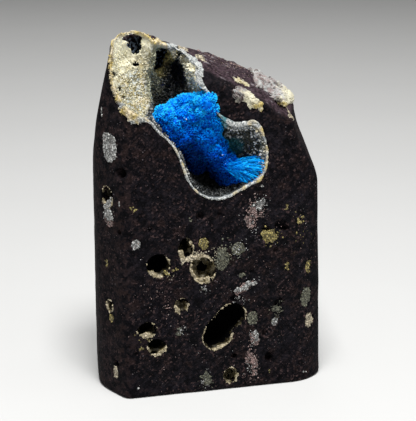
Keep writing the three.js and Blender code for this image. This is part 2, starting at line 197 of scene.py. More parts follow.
# The cluster's balls of blades: a middle and a half width.
HEADS = (
    (-8.9, -9.2, 45.9, 3.0), (-4.4, -9.5, 47.2, 3.1), (-6.6, -8.4, 46.9, 3.0), (-3.8, -11.1, 48.6, 2.6),
    (-2.7, -10.4, 46.1, 2.3), (-4.3, -7.6, 39, 2.2), (2.4, -10.2, 36.5, 1.8), (3.6, -10.4, 37.2, 1.5),
    (-6.9, -9.4, 43.6, 3.0), (-3.4, -9.8, 44.0, 3.0), (-4.6, -8.4, 41.4, 2.7), (-1.6, -9.4, 41.2, 2.6),
    (0.2, -9.2, 38.7, 2.4), (0.8, -9.2, 36.2, 1.9), (-5, -6, 43, 3.5), (-2, -5.5, 40, 3.4),
    (0.5, -6.5, 37, 2.5),
)

KNOB_SPACING, KNOB_STAND = 1.35, 0.8  # in knobs: how far apart they are, and how far they stand out of a ball
BALL_BLEND, KNOB_BLEND = 0.8, 0.25  # how softly balls and knobs run together
# The fan's palest part is a painted highlight near where its blades meet.
FAN_ROOT, FAN_HIGHLIGHT = (2.2, -10.4, 38.3), (3.2, -11, 38.3)  # where the fan's blades start, and its palest part
# The fan's highest direction and its whole angle in degrees, the longest blades, and the share of long ones.
FAN_TOP, FAN_ANGLE, FAN_LENGTH, FAN_SHARE = 10, 66, 4.2, 0.3
# White grains grown on the column.
SNOW = ((-7.2, -12.2, 46.9), (-7, -12.2, 46.6), (-0.9, -11.5, 40.2), (-0.2, -11.4, 38.8), (-2.8, -13.2, 49.7))

# How fine each kind of piece is: the spacing of its grid, the fewest points of a shell that is kept, and the
# most triangles.
DETAIL = {
    "block": (0.26, 2000, 196000), "pocket": (0.2, 3000, 112000), "cluster": (0.22, 500, 60000),
    "crust": (0.18, 60, 44000), "lining": (0.14, 16, 16000), "plug": (0.13, 14, 9000),
    "smear": (0.15, 10, 8000),
}
SEEDS = {"pits": 4, "pocket": 21, "cluster": 33, "specks": 52, "linings": 61, "crusts": 71}
# The first seed of each kind of hole; the holes of a kind count on from it.
FILLED_SEED, PIT_SEED, SPOT_SEED, SMEAR_SEED, FILM_SEED = 50, 90, 120, 150, 200

# ---------------------------------------------------------------- noise and fields

DICE = np.random.default_rng(11).random(1 << 16).astype(np.float32)
PRIMES = (73856093, 19349663, 83492791, 26544357)  # spread the points of space over the dice
LATTICE_START = 37.3  # keeps the corners of the noise off the block's middle


def dice(i, j, k, seed):
    """One fixed number from 0 to 1 for every whole point of space."""
    a, b, c, d = PRIMES
    return DICE[(i * a ^ j * b ^ k * c ^ seed * d) & (len(DICE) - 1)]


def noise(x, y, z, size, seed, octaves=1):
    """Smooth noise from -1 to 1, with its own pattern for each seed, for points or for a grid's open axes."""
    total, share, whole = 0.0, 1.0, 0.0
    for octave in range(octaves):
        cells, parts = [], []
        for line in (x, y, z):
            place = np.asarray(line, np.float64) * (2 ** octave / size) + LATTICE_START * (octave + 1)
            cells.append(np.floor(place).astype(np.int64))
            part = (place - cells[-1]).astype(np.float32)
            parts.append(part * part * (3 - 2 * part))
        (i, j, k), (u, v, w) = cells, parts
        rows = []
        for b in (0, 1):
            for c in (0, 1):
                left, right = (dice(i + a, j + b, k + c, seed + octave) for a in (0, 1))
                rows.append(left + (right - left) * u)
        low = rows[0] + (rows[2] - rows[0]) * v
        high = rows[1] + (rows[3] - rows[1]) * v
        total = total + share * (2 * (low + (high - low) * w) - 1)
        whole += share
        share *= 0.5
    return total / whole


def grains(points, size, seed):
    """Distance in sizes to the nearest of scattered points, and that point's own number."""
    near, own = np.full(len(points), 9.0), np.zeros(len(points))
    place = points / size
    cell = np.floor(place).astype(np.int64)
    for step in np.ndindex(3, 3, 3):
        at = cell + step - 1
        spot = [at[:, n] + dice(*at.T, seed + 5 * n + 1) for n in range(3)]
        away = np.sqrt(sum((place[:, n] - spot[n]) ** 2 for n in range(3)))
        own = np.where(away < near, dice(*at.T, seed + 31), own)
        near = np.minimum(near, away)
    return near, own


def smooth_max(a, b, soft):
    """The larger of two fields, with the corner between them rounded."""
    blend = np.maximum(soft - np.abs(a - b), 0)
    return np.maximum(a, b) + blend * blend / (4 * soft)


def smooth_min(a, b, soft):
    """The smaller of two fields, with the corner between them rounded."""
    return -smooth_max(-a, -b, soft)


def ease(value, low, high):
    """0 below low, 1 above high and a smooth step between them."""
    t = np.clip((value - low) / (high - low), 0, 1)
    return t * t * (3 - 2 * t)


def far(x, y, z, at):
    """Distance from a point."""
    return np.sqrt((x - at[0]) ** 2 + (y - at[1]) ** 2 + (z - at[2]) ** 2)


def outline_distance(line, u, v):
    """Distance to a closed outline, negative inside it."""
    best, inside = np.inf, False
    for (ax, ay), (bx, by) in zip(line, np.roll(line, -1, 0)):
        ex, ey = bx - ax, by - ay
        t = np.clip(((u - ax) * ex + (v - ay) * ey) / (ex * ex + ey * ey), 0, 1)
        best = np.minimum(best, (u - ax - t * ex) ** 2 + (v - ay - t * ey) ** 2)
        if ay != by:
            inside = inside ^ (((ay > v) != (by > v)) & (u < ex * (v - ay) / ey + ax))
    return np.where(inside, -1, 1) * np.sqrt(best)


def rounded(points, steps):
    """A smooth closed line through points."""
    points = np.array(points, float)
    before, after, beyond = (np.roll(points, n, 0) for n in (1, -1, -2))
    line = []
    for t in np.arange(steps) / steps:
        line.append(0.5 * (2 * points + (after - before) * t
                           + (2 * before - 5 * points + 4 * after - beyond) * t ** 2
                           + (3 * points - before - 3 * after + beyond) * t ** 3))
    return np.stack(line, 1).reshape(-1, 2)


def plan_outline():
    """The block seen from above, starting at the front left corner."""
    def bend(a, b, c, steps):
        return [tuple((1 - t) ** 2 * np.array(a) + 2 * t * (1 - t) * np.array(b) + t * t * np.array(c))
                for t in np.linspace(0, 1, steps)]
    turn = np.radians(np.linspace(-90, 0, 14))
    line = list(zip(RIGHT - CORNER + CORNER * np.cos(turn), FRONT + CORNER + CORNER * np.sin(turn)))
    line += bend((RIGHT, 8), (RIGHT - 0.4, BACK), (12, BACK), 8)
    line += bend((-14.5, BACK), (-17.6, BACK - 0.3), (-18.4, 8.4), 6)
    line += bend((LEFT + 0.2, -2.4), (LEFT - 0.2, -5.2), (-19.5, -7.4), 5)
    line += bend((-18, -11), (-17.3, FRONT), (-16.4, FRONT), 5)
    return np.array(line, float)


PLAN, MOUTH_LINE = plan_outline(), rounded(MOUTH, 7)


def plane(x, y, z, point, out):
    """Distance beyond a plane."""
    out = np.array(out) / np.linalg.norm(out)
    return (x - point[0]) * out[0] + (y - point[1]) * out[1] + (z - point[2]) * out[2]


def tops(x, y, z):
    """Distance above the broken top."""
    field = plane(x, y, z, *BROKEN_CUTS[0])
    for cut in BROKEN_CUTS[1:]:
        field = smooth_max(field, plane(x, y, z, *cut), TOP_BLEND)
    return field


def sides(x, y, z):
    """Distance outside the sawn and ground sides."""
    field = outline_distance(PLAN, x, y)
    for cut in GROUND_CUTS:
        field = smooth_max(field, plane(x, y, z, *cut), SIDE_BLEND)
    worn = smooth_min(plane(x, y, z, *SHOULDER[0]), plane(x, y, z, *SHOULDER[1]), SHOULDER_BLEND)
    return smooth_max(field, worn, SIDE_BLEND)


def bare_block(x, y, z):
    """Distance outside the block with no relief on it."""
    return smooth_max(smooth_max(sides(x, y, z), tops(x, y, z), EDGE_BLEND), -z, BASE_BLEND)


def block(x, y, z):
    """Distance outside the block, with the relief of its broken top and of its sawn sides."""
    side, top = sides(x, y, z), tops(x, y, z)
    edge = ease(top - side, -1.6, 0.4)
    relief = noise(x, y, z, 3.6, 3, 4)
    field = smooth_max(side, top, EDGE_BLEND)
    field = field - relief * (SIDE_RELIEF + TOP_RELIEF * edge)
    chips = np.maximum(noise(x, y, z, 1.7, 8, 2) - 0.15, 0) * np.clip(1.6 + np.minimum(side, top), 0, 1)
    return smooth_max(field + CHIP_DEPTH * chips * np.clip(edge * (1 - edge) * 4, 0, 1), -z, BASE_BLEND)


def pebble(x, y, z, at, radii, turn=None):
    """Distance outside a ball stretched to three half widths, about its own turned axes."""
    away = [x - at[0], y - at[1], z - at[2]]
    if turn is not None:
        away = [sum(away[i] * turn[i, n] for i in range(3)) for n in range(3)]
    near = np.sqrt(sum((a / r) ** 2 for a, r in zip(away, radii)))
    steep = np.sqrt(sum((a / r ** 2) ** 2 for a, r in zip(away, radii)))
    return near * (near - 1) / np.maximum(steep, 1e-6)


def bowl(x, y, z):
    """Distance outside the pocket's main hollow, which opens in the mouth on the front."""
    across = np.clip(1 + outline_distance(MOUTH_LINE, x, z) / POCKET_REACH, 0, None)
    depth = POCKET_DEPTH - NICHE_RISE * ease(x, *NICHE_SLOPE)
    return POCKET_REACH * (np.sqrt(across ** 2 + (np.maximum(y - FRONT, 0) / depth) ** 2) - 1)


def pocket(x, y, z):
    """Distance outside the middle of the pocket's shell."""
    field = smooth_min(bowl(x, y, z), pebble(x, y, z, *CHIMNEY), CHIMNEY_BLEND)
    field = smooth_min(field, pebble(x, y, z, *RECESS), RECESS_BLEND)
    field = smooth_min(field, pebble(x, y, z, *LOBE), LOBE_BLEND)
    wander = MOUTH_WANDER + WALL_WANDER * ease(y, FRONT + 0.5, FRONT + 4)
    return field + noise(x, y, z, 2.4, 21, 3) * wander


def seat(side, across, z, sink=0.0):
    """The middle of a hole on one side of the block, and how far it is turned about z in degrees.

    On the top, a place is x and y.
    """
    if side == "left":
        x = CORNER_X - (across - FRONT) * CORNER_RUN
        return (x + sink * CORNER_IN[0], across + sink * CORNER_IN[1], z), CORNER_TURN
    if side == "right":
        angle, reach = math.radians(across), CORNER - sink
        return (RIGHT - CORNER + reach * math.sin(angle), FRONT + CORNER - reach * math.cos(angle), z), across
    if side == "top":
        return (across, z, TOP_HEIGHT - TOP_FALL * across + TOP_RISE * z - sink), 0
    return (across, (FRONT + sink if side == "front" else BACK - sink), z), 0


class Hole:
    """One gas hole: a stretched ball with a wandering outline."""

    def __init__(self, side, across, z, wide, high, depth, tilt=0.0, sink=0.0, seed=1):
        self.at, swing = seat(side, across, z, sink)
        self.radii = (wide, high, depth) if side == "top" else (wide, depth, high)
        t, s = math.radians(tilt), math.radians(swing)
        lean = np.array([[math.cos(t), 0, math.sin(t)], [0, 1, 0], [-math.sin(t), 0, math.cos(t)]])
        swung = np.array([[math.cos(s), -math.sin(s), 0], [math.sin(s), math.cos(s), 0], [0, 0, 1]])
        self.turn = swung @ lean
        self.seed = seed
        self.reach = max(self.radii) + 1.2

    def box(self):
        return np.array(self.at) - self.reach, np.array(self.at) + self.reach

    def field(self, x, y, z):
        size = min(self.radii[0], self.radii[2])
        wander = noise(x, y, z, 1.1 * size, self.seed, 2) * 0.2 * size ** 0.7
        return pebble(x, y, z, self.at, self.radii, self.turn) + wander


def open_hole(name):
    """An open hole, with the bean's two lobes where it is the bean."""
    hole = Hole(*OPEN_HOLES[name], seed=len(name) + ord(name[0]))
    if name == "bean":
        a, b = (Hole(*lobe, seed=3 + 2 * n) for n, lobe in enumerate(BEAN_LOBES))
        hole.field = lambda x, y, z: smooth_min(a.field(x, y, z), b.field(x, y, z), BEAN_BLEND)
    return hole


# ---------------------------------------------------------------- grids and meshes

class Grid:
    """A box of evenly spaced points that holds one distance each, negative inside the stone."""

    def __init__(self, low, high, kind, field):
        self.step, self.least, self.most = DETAIL[kind]
        self.low = np.array(low, float)
        self.axes = [np.arange(lo, hi, self.step) for lo, hi in zip(low, high)]
        self.values = field(*np.ix_(*self.axes)).astype(np.float32)

    def window(self, low, high):
        """The part of the grid inside a box, as slices and as open axes."""
        first, last = ((np.array(end) - self.low) / self.step for end in (low, high))
        cuts = tuple(slice(max(0, int(a)), max(0, int(b) + 2)) for a, b in zip(first, last))
        return cuts, np.ix_(*(axis[cut] for axis, cut in zip(self.axes, cuts)))

    def carve(self, box, field, more=0.0):
        """Takes away the room inside a field, and a little more round it."""
        cuts, axes = self.window(*box)
        if self.values[cuts].size:
            self.values[cuts] = np.maximum(self.values[cuts], more - field(*axes))

    def grow_grains(self, size, seed, relief, spread=0.0, middle=0.45, reach=0.3):
        """Covers the surface with round grains; the spread lets some stand out more than others."""
        index = np.argwhere(np.abs(self.values) < reach)
        near, own = grains(self.low + self.step * index, size, seed)
        self.values[tuple(index.T)] += (near - middle) * (relief + spread * own)

    def surface(self):
        """The surface of the stone as points and four-sided faces that look outwards."""
        inside = self.values < 0
        corners = [np.array((i, j, k)) for i in (0, 1) for j in (0, 1) for k in (0, 1)]
        size = np.array(inside.shape) - 1
        count = sum(inside[tuple(slice(c, c + n) for c, n in zip(corner, size))].astype(np.int8)
                    for corner in corners)
        cells = np.argwhere((count > 0) & (count < 8))
        number = np.full(size, -1, np.int64)
        number[tuple(cells.T)] = np.arange(len(cells))
        place, hits = np.zeros((len(cells), 3)), np.zeros(len(cells))
        for corner in corners:
            for axis in np.flatnonzero(corner == 0):
                step = np.eye(3, dtype=int)[axis]
                a, b = (self.values[tuple((cells + c).T)].astype(float) for c in (corner, corner + step))
                crossed = (a < 0) != (b < 0)
                t = np.where(crossed, a / np.where(crossed, a - b, 1), 0)
                place += crossed[:, None] * (corner + t[:, None] * step)
                hits += crossed
        points = self.low + self.step * (cells + place / hits[:, None])
        faces = []
        for axis in range(3):
            u, v = np.eye(3, dtype=int)[(axis + 1) % 3], np.eye(3, dtype=int)[(axis + 2) % 3]
            ahead = np.roll(inside, -1, axis)
            at = np.argwhere(inside != ahead)
            at = at[(at[:, axis] < size[axis]) & (at @ u > 0) & (at @ v > 0)]
            at = at[(at @ u < size @ u) & (at @ v < size @ v)]
            ring = np.stack([number[tuple((at - shift).T)] for shift in (0 * u, u, u + v, v)], 1)
            out = inside[tuple(at.T)]
            faces.append(np.where(out[:, None], ring, ring[:, ::-1]))
        return points, np.concatenate(faces)

    def mesh(self):
        """The surface as points and triangles, without its small loose shells."""
        return thin(*main_shells(*self.surface(), self.least), self.most)


def main_shells(points, faces, least):
    """Drops the loose shells that have fewer points than least."""
    label = np.arange(len(points))
    while True:
        low = label[faces].min(1)
        new = label.copy()
        for column in range(faces.shape[1]):
            np.minimum.at(new, faces[:, column], low)
        new = new[new]
        if (new == label).all():
            break
        label = new
    keep = np.bincount(label, minlength=len(points))[label] >= least
    order = np.cumsum(keep) - 1
    return points[keep], order[faces[keep[faces].all(1)]]


def to_mesh(name, points, faces, smooth=True):
    """A mesh from points in millimetres and faces, or lists of faces with a smooth flag for each."""
    faces = faces if isinstance(faces, list) else [faces]
    flags = smooth if isinstance(smooth, list) else [smooth] * len(faces)
    mesh = bpy.data.meshes.new(name)
    mesh.vertices.add(len(points))
    mesh.vertices.foreach_set("co", ((points - (MIDDLE_X, 0, 0)) * MM).astype(np.float32).ravel())
    corners = np.concatenate([f.ravel() for f in faces])
    sizes = np.concatenate([np.full(len(f), f.shape[1]) for f in faces])
    mesh.loops.add(len(corners))
    mesh.loops.foreach_set("vertex_index", corners.astype(np.int32))
    mesh.polygons.add(len(sizes))
    mesh.polygons.foreach_set("loop_start", (np.cumsum(sizes) - sizes).astype(np.int32))
    mesh.polygons.foreach_set("loop_total", sizes.astype(np.int32))
    smooth_faces = np.concatenate([np.full(len(f), flag) for f, flag in zip(faces, flags)])
    mesh.polygons.foreach_set("use_smooth", smooth_faces)
    mesh.update(calc_edges=True)
    mesh.validate()
    return mesh


def thin(points, faces, most):
    """The same surface with at most so many triangles, fewer where it is flat."""
    if 2 * len(faces) <= most:
        return points, np.concatenate([faces[:, :3], faces[:, [0, 2, 3]]])
    mesh = to_mesh("thin", points, faces)
    rough = bpy.data.objects.new("thin", mesh)
    bpy.context.scene.collection.objects.link(rough)
    fewer = rough.modifiers.new("fewer", "DECIMATE")
    fewer.ratio = most / (2 * len(faces))
    fewer.use_collapse_triangulate = True
    done = rough.evaluated_get(bpy.context.evaluated_depsgraph_get()).to_mesh()
    co, tri = np.zeros(len(done.vertices) * 3), np.zeros(len(done.polygons) * 3, np.int32)
    done.vertices.foreach_get("co", co)
    done.polygons.foreach_get("vertices", tri)
    bpy.data.objects.remove(rough)
    bpy.data.meshes.remove(mesh)
    return co.reshape(-1, 3) / MM + (MIDDLE_X, 0, 0), tri.reshape(-1, 3).astype(np.int64)


def place_piece(name, points, faces, finish, slot, nodes=(), smooth=True, **marks):
    """Makes one piece of the specimen, with a named number on each point for its finish to read."""
    mesh = to_mesh(name, points, faces, smooth)
    for mark, values in marks.items():
        mesh.attributes.new(mark, "FLOAT", "POINT").data.foreach_set("value", np.float32(values))
    mesh.materials.append(finish)
    piece = bpy.data.objects.new(name, mesh)
    bpy.context.scene.collection.objects.link(piece)
    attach(piece, "root")
    if nodes:
        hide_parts(*nodes)
    return piece


def unit(vectors):
    return vectors / np.maximum(np.linalg.norm(vectors, axis=1), 1e-9)[:, None]


def on_faces(points, tris, weights, count, rng):
    """Random points on a surface and the direction that each faces."""
    a, b, c = (points[tris[:, n]] for n in range(3))
    cross = np.cross(b - a, c - a)
    chance = np.linalg.norm(cross, axis=1) * weights
    pick = rng.choice(len(tris), count, p=chance / chance.sum())
    u, v = rng.random((2, count))
    over = u + v > 1
    u[over], v[over] = 1 - u[over], 1 - v[over]
    a, b, c = a[pick], b[pick], c[pick]
    return a + (b - a) * u[:, None] + (c - a) * v[:, None], unit(cross[pick])


def join(parts):
    """Several pairs of points and triangles as one pair."""
    first = np.cumsum([0] + [len(points) for points, _ in parts])
    return (np.concatenate([points for points, _ in parts]),
            np.concatenate([tris + start for (_, tris), start in zip(parts, first)]))


BLADE_POINTS = 6  # a blade has a root, four corners at its shoulder and a tip


def crystals(feet, out, length, wide, thick, rng, roots=0.5, shoulder=0.62):
    """Pointed blades standing on their feet: points, triangles and how far up its blade each point is."""
    count = len(feet)
    side = unit(np.cross(out, rng.normal(size=(count, 3))))
    across = np.cross(out, side)
    ring = np.array([(1, 0), (0, 1), (-1, 0), (0, -1)], float)
    flat = side[:, None] * (ring[:, 0] * wide[:, None])[..., None]
    deep = across[:, None] * (ring[:, 1] * thick[:, None])[..., None]
    root = (feet - out * (length * roots)[:, None])[:, None]
    neck = feet[:, None] + flat + deep + out[:, None] * (length * shoulder)[:, None, None]
    tilt = side * (wide * rng.uniform(-0.5, 0.5, count))[:, None]
    tip = (feet + out * length[:, None] + tilt)[:, None]
    points = np.concatenate([root, neck, tip], 1).reshape(-1, 3)
    sides = [(n, n % 4 + 1) for n in range(1, 5)]
    pattern = np.array([(0, b, a) for a, b in sides] + [(a, b, 5) for a, b in sides])
    tris = (pattern[None] + BLADE_POINTS * np.arange(count)[:, None, None]).reshape(-1, 3)
    up = np.tile([0.0] + [0.75] * 4 + [1.0], count)
    return points, tris, up


def pebbles(spots, out, size, rng):
    """Small rough grains half sunk in a surface: points and triangles."""
    gold = (1 + 5 ** 0.5) / 2
    ball = [(a, b * gold, 0) for a in (-1, 1) for b in (-1, 1)]
    ball = unit(np.array([np.roll(p, n) for n in range(3) for p in ball], float))
    near = np.linalg.norm(ball[:, None] - ball[None], axis=2) < 1.1
    tris = [(i, j, k) for i in range(12) for j in range(i + 1, 12) for k in range(j + 1, 12)
            if near[i, j] and near[j, k] and near[i, k]]
    tris = np.array([t if np.linalg.det(ball[list(t)]) > 0 else t[::-1] for t in tris])
    count = len(spots)
    side = unit(np.cross(out, rng.normal(size=(count, 3))))
    axes = np.stack([side, np.cross(out, side), out], 1)
    stretch = size[:, None] * rng.uniform([0.7, 0.6, 0.35], [1.3, 1.1, 0.75], (count, 3))
    shape = ball[None] * rng.uniform(0.75, 1.2, (count, 12, 1)) * stretch[:, None]
    points = spots[:, None] + np.einsum("nij,njk->nik", shape, axes)
    return points.reshape(-1, 3), (tris[None] + 12 * np.arange(count)[:, None, None]).reshape(-1, 3)


def beaded(points, tris, weights, count, sizes, rng):
    """A surface with loose grains of two limits of size on it, where the weights allow."""
    spots, out = on_faces(points, tris, weights, count, rng)
    return join([(points, tris), pebbles(spots, out, rng.uniform(*sizes, count), rng)])


# ---------------------------------------------------------------- finishes

class Finish:
    """A stone finish being put together: each method adds a node and gives back its output."""

    def __init__(self, name, roughness, specular, subsurface=0.0):
        self.material = bpy.data.materials.new(name)
        self.material.use_nodes = True
        self.nodes, self.links = self.material.node_tree.nodes, self.material.node_tree.links
        self.nodes.clear()
        self.shader = self.add("BsdfPrincipled", {"Roughness": roughness, "Specular IOR Level": specular})
        if subsurface:
            self.shader.inputs["Subsurface Weight"].default_value = subsurface
            self.shader.inputs["Subsurface Radius"].default_value = (1.0, 0.9, 0.7)
            self.shader.inputs["Subsurface Scale"].default_value = 0.4 * MM
        self.add("OutputMaterial", {"Surface": self.shader.outputs[0]})
        place = self.add("TexCoord").outputs["Object"]
        self.mm = self.add("Mapping", {"Vector": place, "Scale": (1000, 1000, 1000)}).outputs[0]

    def add(self, kind, inputs=None, **settings):
        node = self.nodes.new("ShaderNode" + kind)
        for key, value in settings.items():
            setattr(node, key, value)
        for key, value in (inputs or {}).items():
            if isinstance(value, bpy.types.NodeSocket):
                self.links.new(value, node.inputs[key])
            else:
                node.inputs[key].default_value = value
        return node

    def noise(self, size, detail=2.0, rough=0.55, place=None):
        inputs = {"Vector": place or self.mm, "Scale": 1 / size, "Detail": detail, "Roughness": rough}
        return self.add("TexNoise", inputs).outputs["Fac"]

    def cells(self, size):
        """Grains of one size: the distance from each grain's middle, and its own number."""
        node = self.add("TexVoronoi", {"Vector": self.mm, "Scale": 1 / size})
        own = self.add("SeparateColor", {"Color": node.outputs["Color"]}).outputs[0]
        return node.outputs["Distance"], own

    def mark(self, name):
        return self.add("Attribute", attribute_name=name).outputs["Fac"]

    def step(self, value, low, high):
        node = self.add("MapRange", {"Value": value, "From Min": low, "From Max": high},
                        interpolation_type="SMOOTHSTEP")
        return node.outputs[0]

    def times(self, a, b):
        return self.add("Math", {0: a, 1: b}, operation="MULTIPLY").outputs[0]

    def plus(self, a, b):
        return self.add("Math", {0: a, 1: b}, operation="ADD").outputs[0]

    def without(self, share):
        """What a share leaves of one."""
        return self.add("Math", {0: 1.0, 1: share}, operation="SUBTRACT").outputs[0]

    def mix(self, share, a, b):
        inputs = {0: share, 6: self.colour(a), 7: self.colour(b)}
        return self.add("Mix", inputs, data_type="RGBA").outputs[2]

    def colour(self, value):
        return value if isinstance(value, bpy.types.NodeSocket) else (*value[:3], 1.0)

    def ramp(self, value, *stops):
        node = self.add("ValToRGB", {"Fac": value})
        points = node.color_ramp.elements
        while len(points) < len(stops):
            points.new(0.5)
        for point, (place, colour) in zip(points, stops):
            point.position, point.color = place, self.colour(colour)
        return node.outputs[0]

    def bump(self, height, depth, under=None):
        inputs = {"Height": height, "Distance": depth * MM, "Strength": 1.0}
        if under:
            inputs["Normal"] = under
        return self.add("Bump", inputs).outputs[0]

    def finish(self, colour, normal=None):
        self.links.new(colour, self.shader.inputs["Base Color"])
        if normal:
            self.links.new(normal, self.shader.inputs["Normal"])
        return self.material


def tinted(colour, by):
    """A colour made lighter or darker."""
    return tuple(c * by for c in colour[:3])


def basalt_finish(look):
    """Dark basalt: slate and brown patches, pale flecks, saw marks, a purple-brown broken top painted
    lighter as light from above would make it, painted shade in the hollows and painted glints under the peak.
    """
    f = Finish("basalt", 0.85, 0.06)
    grit, own = f.cells(0.32)
    fleck_far, fleck = f.cells(0.36)
    cloud, fine = f.noise(1.2, 4, 0.65), f.noise(0.5, 3, 0.7)
    patch = f.step(f.noise(5.5, 4, 0.6), 0.42, 0.6)
    turned = f.add("Mapping", {"Vector": f.mm, "Rotation": (0, math.radians(42), 0)}).outputs[0]
    drawn = f.add("Mapping", {"Vector": turned, "Scale": (0.13, 0.13, 1.9)}).outputs[0]
    saw = f.noise(1.0, 4, 0.7, drawn)
    stone = f.ramp(cloud, (0.36, tinted(look.dark, 0.25)), (0.66, tinted(look.dark, 2.2)))
    browned = f.times(f.step(cloud, 0.44, 0.6), f.plus(patch, 0.2))
    stone = f.mix(browned, stone, f.mix(f.step(fine, 0.35, 0.65), tinted(look.brown, 0.3), look.brown))
    grainy = f.times(f.step(fine, 0.42, 0.6), f.step(f.noise(4, 4, 0.65), 0.38, 0.6))
    stone = f.mix(f.times(f.step(own, 0.7, 0.97), grainy), stone, tinted(look.brown, 2.8))
    stone = f.mix(f.times(f.step(own, 0.34, 0.1), 0.7), stone, tinted(look.dark, 0.25))
    stone = f.mix(f.times(f.step(saw, 0.48, 0.6), 0.6), stone, tinted(look.dark, 0.35))
    spots = f.times(f.step(fleck, 0.8, 0.92), f.step(fleck_far, 0.36, 0.12))
    stone = f.mix(f.times(spots, f.step(f.noise(3.1, 3, 0.6), 0.48, 0.66)), stone, look.fleck)
    stone = f.mix(f.times(f.mark("warm"), f.step(cloud, 0.45, 0.62)), stone, look.brown)
    # The broken top: its own purple-brown tint, painted much lighter than the sides as light from above would
    # make it.
    dusty = f.mix(f.step(fine, 0.34, 0.7), tinted(look.dust, 0.18), tinted(look.dust, 1.25))
    dusty = f.mix(f.step(f.noise(1.5, 3, 0.6), 0.56, 0.72), dusty, tinted(look.fleck, 1.3))
    stone = f.mix(f.mark("dust"), stone, dusty)
    # Painted shade: the stone turns near black deeper into the holes and the pocket.
    stone = f.mix(f.mark("hollow"), stone, tinted(look.dark, 0.2))
    # Painted glints: blue-grey cells under the peak stand in for light caught by crystal faces.
    stone = f.mix(f.times(f.mark("glint"), f.step(fleck, 0.7, 0.8)), stone, look.glint)
    flat = f.without(f.mark("dust"))
    relief = f.bump(f.times(saw, flat), look.saw_marks / MM)
    relief = f.bump(f.noise(0.32, 4, 0.7), look.roughness_depth / MM, relief)
    relief = f.bump(grit, look.roughness_depth / MM * 0.6, relief)
    return f.finish(stone, relief)


def lining_finish(look):
    """The pocket's zeolite: a pale rim, sugary cream crust on the lobe, olive and grey druse further in,
    and painted shade where it lies low or deep.
    """
    f = Finish("pocket_zeolite", 0.42, 0.35, 0.1)
    grit, own = f.cells(0.24)
    cloud, fine, broad = f.noise(1.1, 4), f.noise(0.3, 3, 0.7), f.noise(2.6, 3, 0.6)
    tone = f.mark("tone")
    druse = f.ramp(tone, (0.0, tinted(look.grey, 0.15)), (0.45, tinted(look.grey, 0.8)), (1.0, look.white))
    olive = f.mix(tone, tinted(look.olive, 1.1), tinted(look.olive, 4.0))
    olive = f.mix(f.step(cloud, 0.4, 0.62), olive, tinted(look.olive, 2.4))
    druse = f.mix(f.mark("olive"), druse, olive)
    pale = f.mix(f.step(fine, 0.25, 0.6), tinted(look.cream, 0.75), tinted(look.bloom, 1.1))
    pale = f.mix(f.mark("niche"), pale, tinted(look.white, 1.2))
    druse = f.mix(f.mark("pale"), druse, pale)
    cream = f.mix(f.step(broad, 0.36, 0.6), look.cream, tinted(look.grey, 2.2))
    cream = f.mix(f.times(f.step(cloud, 0.52, 0.66), 0.75), cream, look.yellow)
    cream = f.mix(f.times(f.step(own, 0.5, 0.9), 0.6), cream, look.white)
    cream = f.mix(f.times(f.step(f.noise(0.8, 3, 0.7), 0.6, 0.72), 0.6), cream, tinted(look.olive, 2.2))
    bloom = f.mix(f.step(cloud, 0.35, 0.65), tinted(look.bloom, 1.1), tinted(look.bloom, 0.85))
    cream = f.mix(f.mark("bloom"), cream, bloom)
    lump, lump_own = f.cells(0.5)
    gap = f.times(f.times(f.step(lump, 0.34, 0.58), 0.85), f.without(f.mark("bloom")))
    cream = f.mix(gap, cream, f.mix(lump_own, tinted(look.olive, 1.1), tinted(look.yellow, 0.8)))
    cream = f.mix(f.mark("sugar"), cream, tinted(look.bloom, 1.1))
    druse = f.mix(f.mark("lobe"), druse, cream)
    druse = f.mix(f.mark("stain"), druse, tinted(look.gold, 0.85))
    edge = f.mix(f.step(fine, 0.4, 0.6), tinted(look.grey, 0.9), look.white)
    edge = f.mix(f.mark("outer"), edge, f.mix(f.step(cloud, 0.35, 0.65), look.yellow, look.cream))
    druse = f.mix(f.mark("rim"), druse, edge)
    druse = f.mix(f.mark("teal"), druse, look.teal)
    # Painted shade: the druse turns near black low down, deep in the pocket, in the niche and in the cleft.
    druse = f.mix(f.mark("dark"), druse, tinted(look.grey, 0.06))
    relief = f.bump(grit, 0.09)
    relief = f.bump(fine, 0.06, relief)
    return f.finish(druse, relief)


def mineral_finish(name, low, high, spot, size=0.3, gaps=0.8):
    """A crusty mineral: grains from low to high colour, spots of a third, dark gaps, a pale edge mark, and
    painted shade where a mark says it lies deep in a hole.
    """
    f = Finish(name, 0.5, 0.3, 0.1)
    grit, own = f.cells(size)
    cloud, fine = f.noise(0.9, 4), f.noise(0.3, 3, 0.7)
    body = f.mix(f.step(f.plus(f.times(own, 0.5), f.times(cloud, 0.9)), 0.45, 0.95), low, high)
    body = f.mix(f.times(f.step(fine, 0.56, 0.7), 0.8), body, spot)
    body = f.mix(f.mark("edge"), body, high)
    body = f.mix(f.times(f.step(grit, 0.36, 0.6), gaps), body, tinted(low, 0.2))
    # Painted shade: darker where the piece lies deep in a hole.
    body = f.mix(f.mark("deep"), body, tinted(low, 0.1))
    relief = f.bump(fine, 0.07, f.bump(grit, 0.1))
    return f.finish(body, relief)


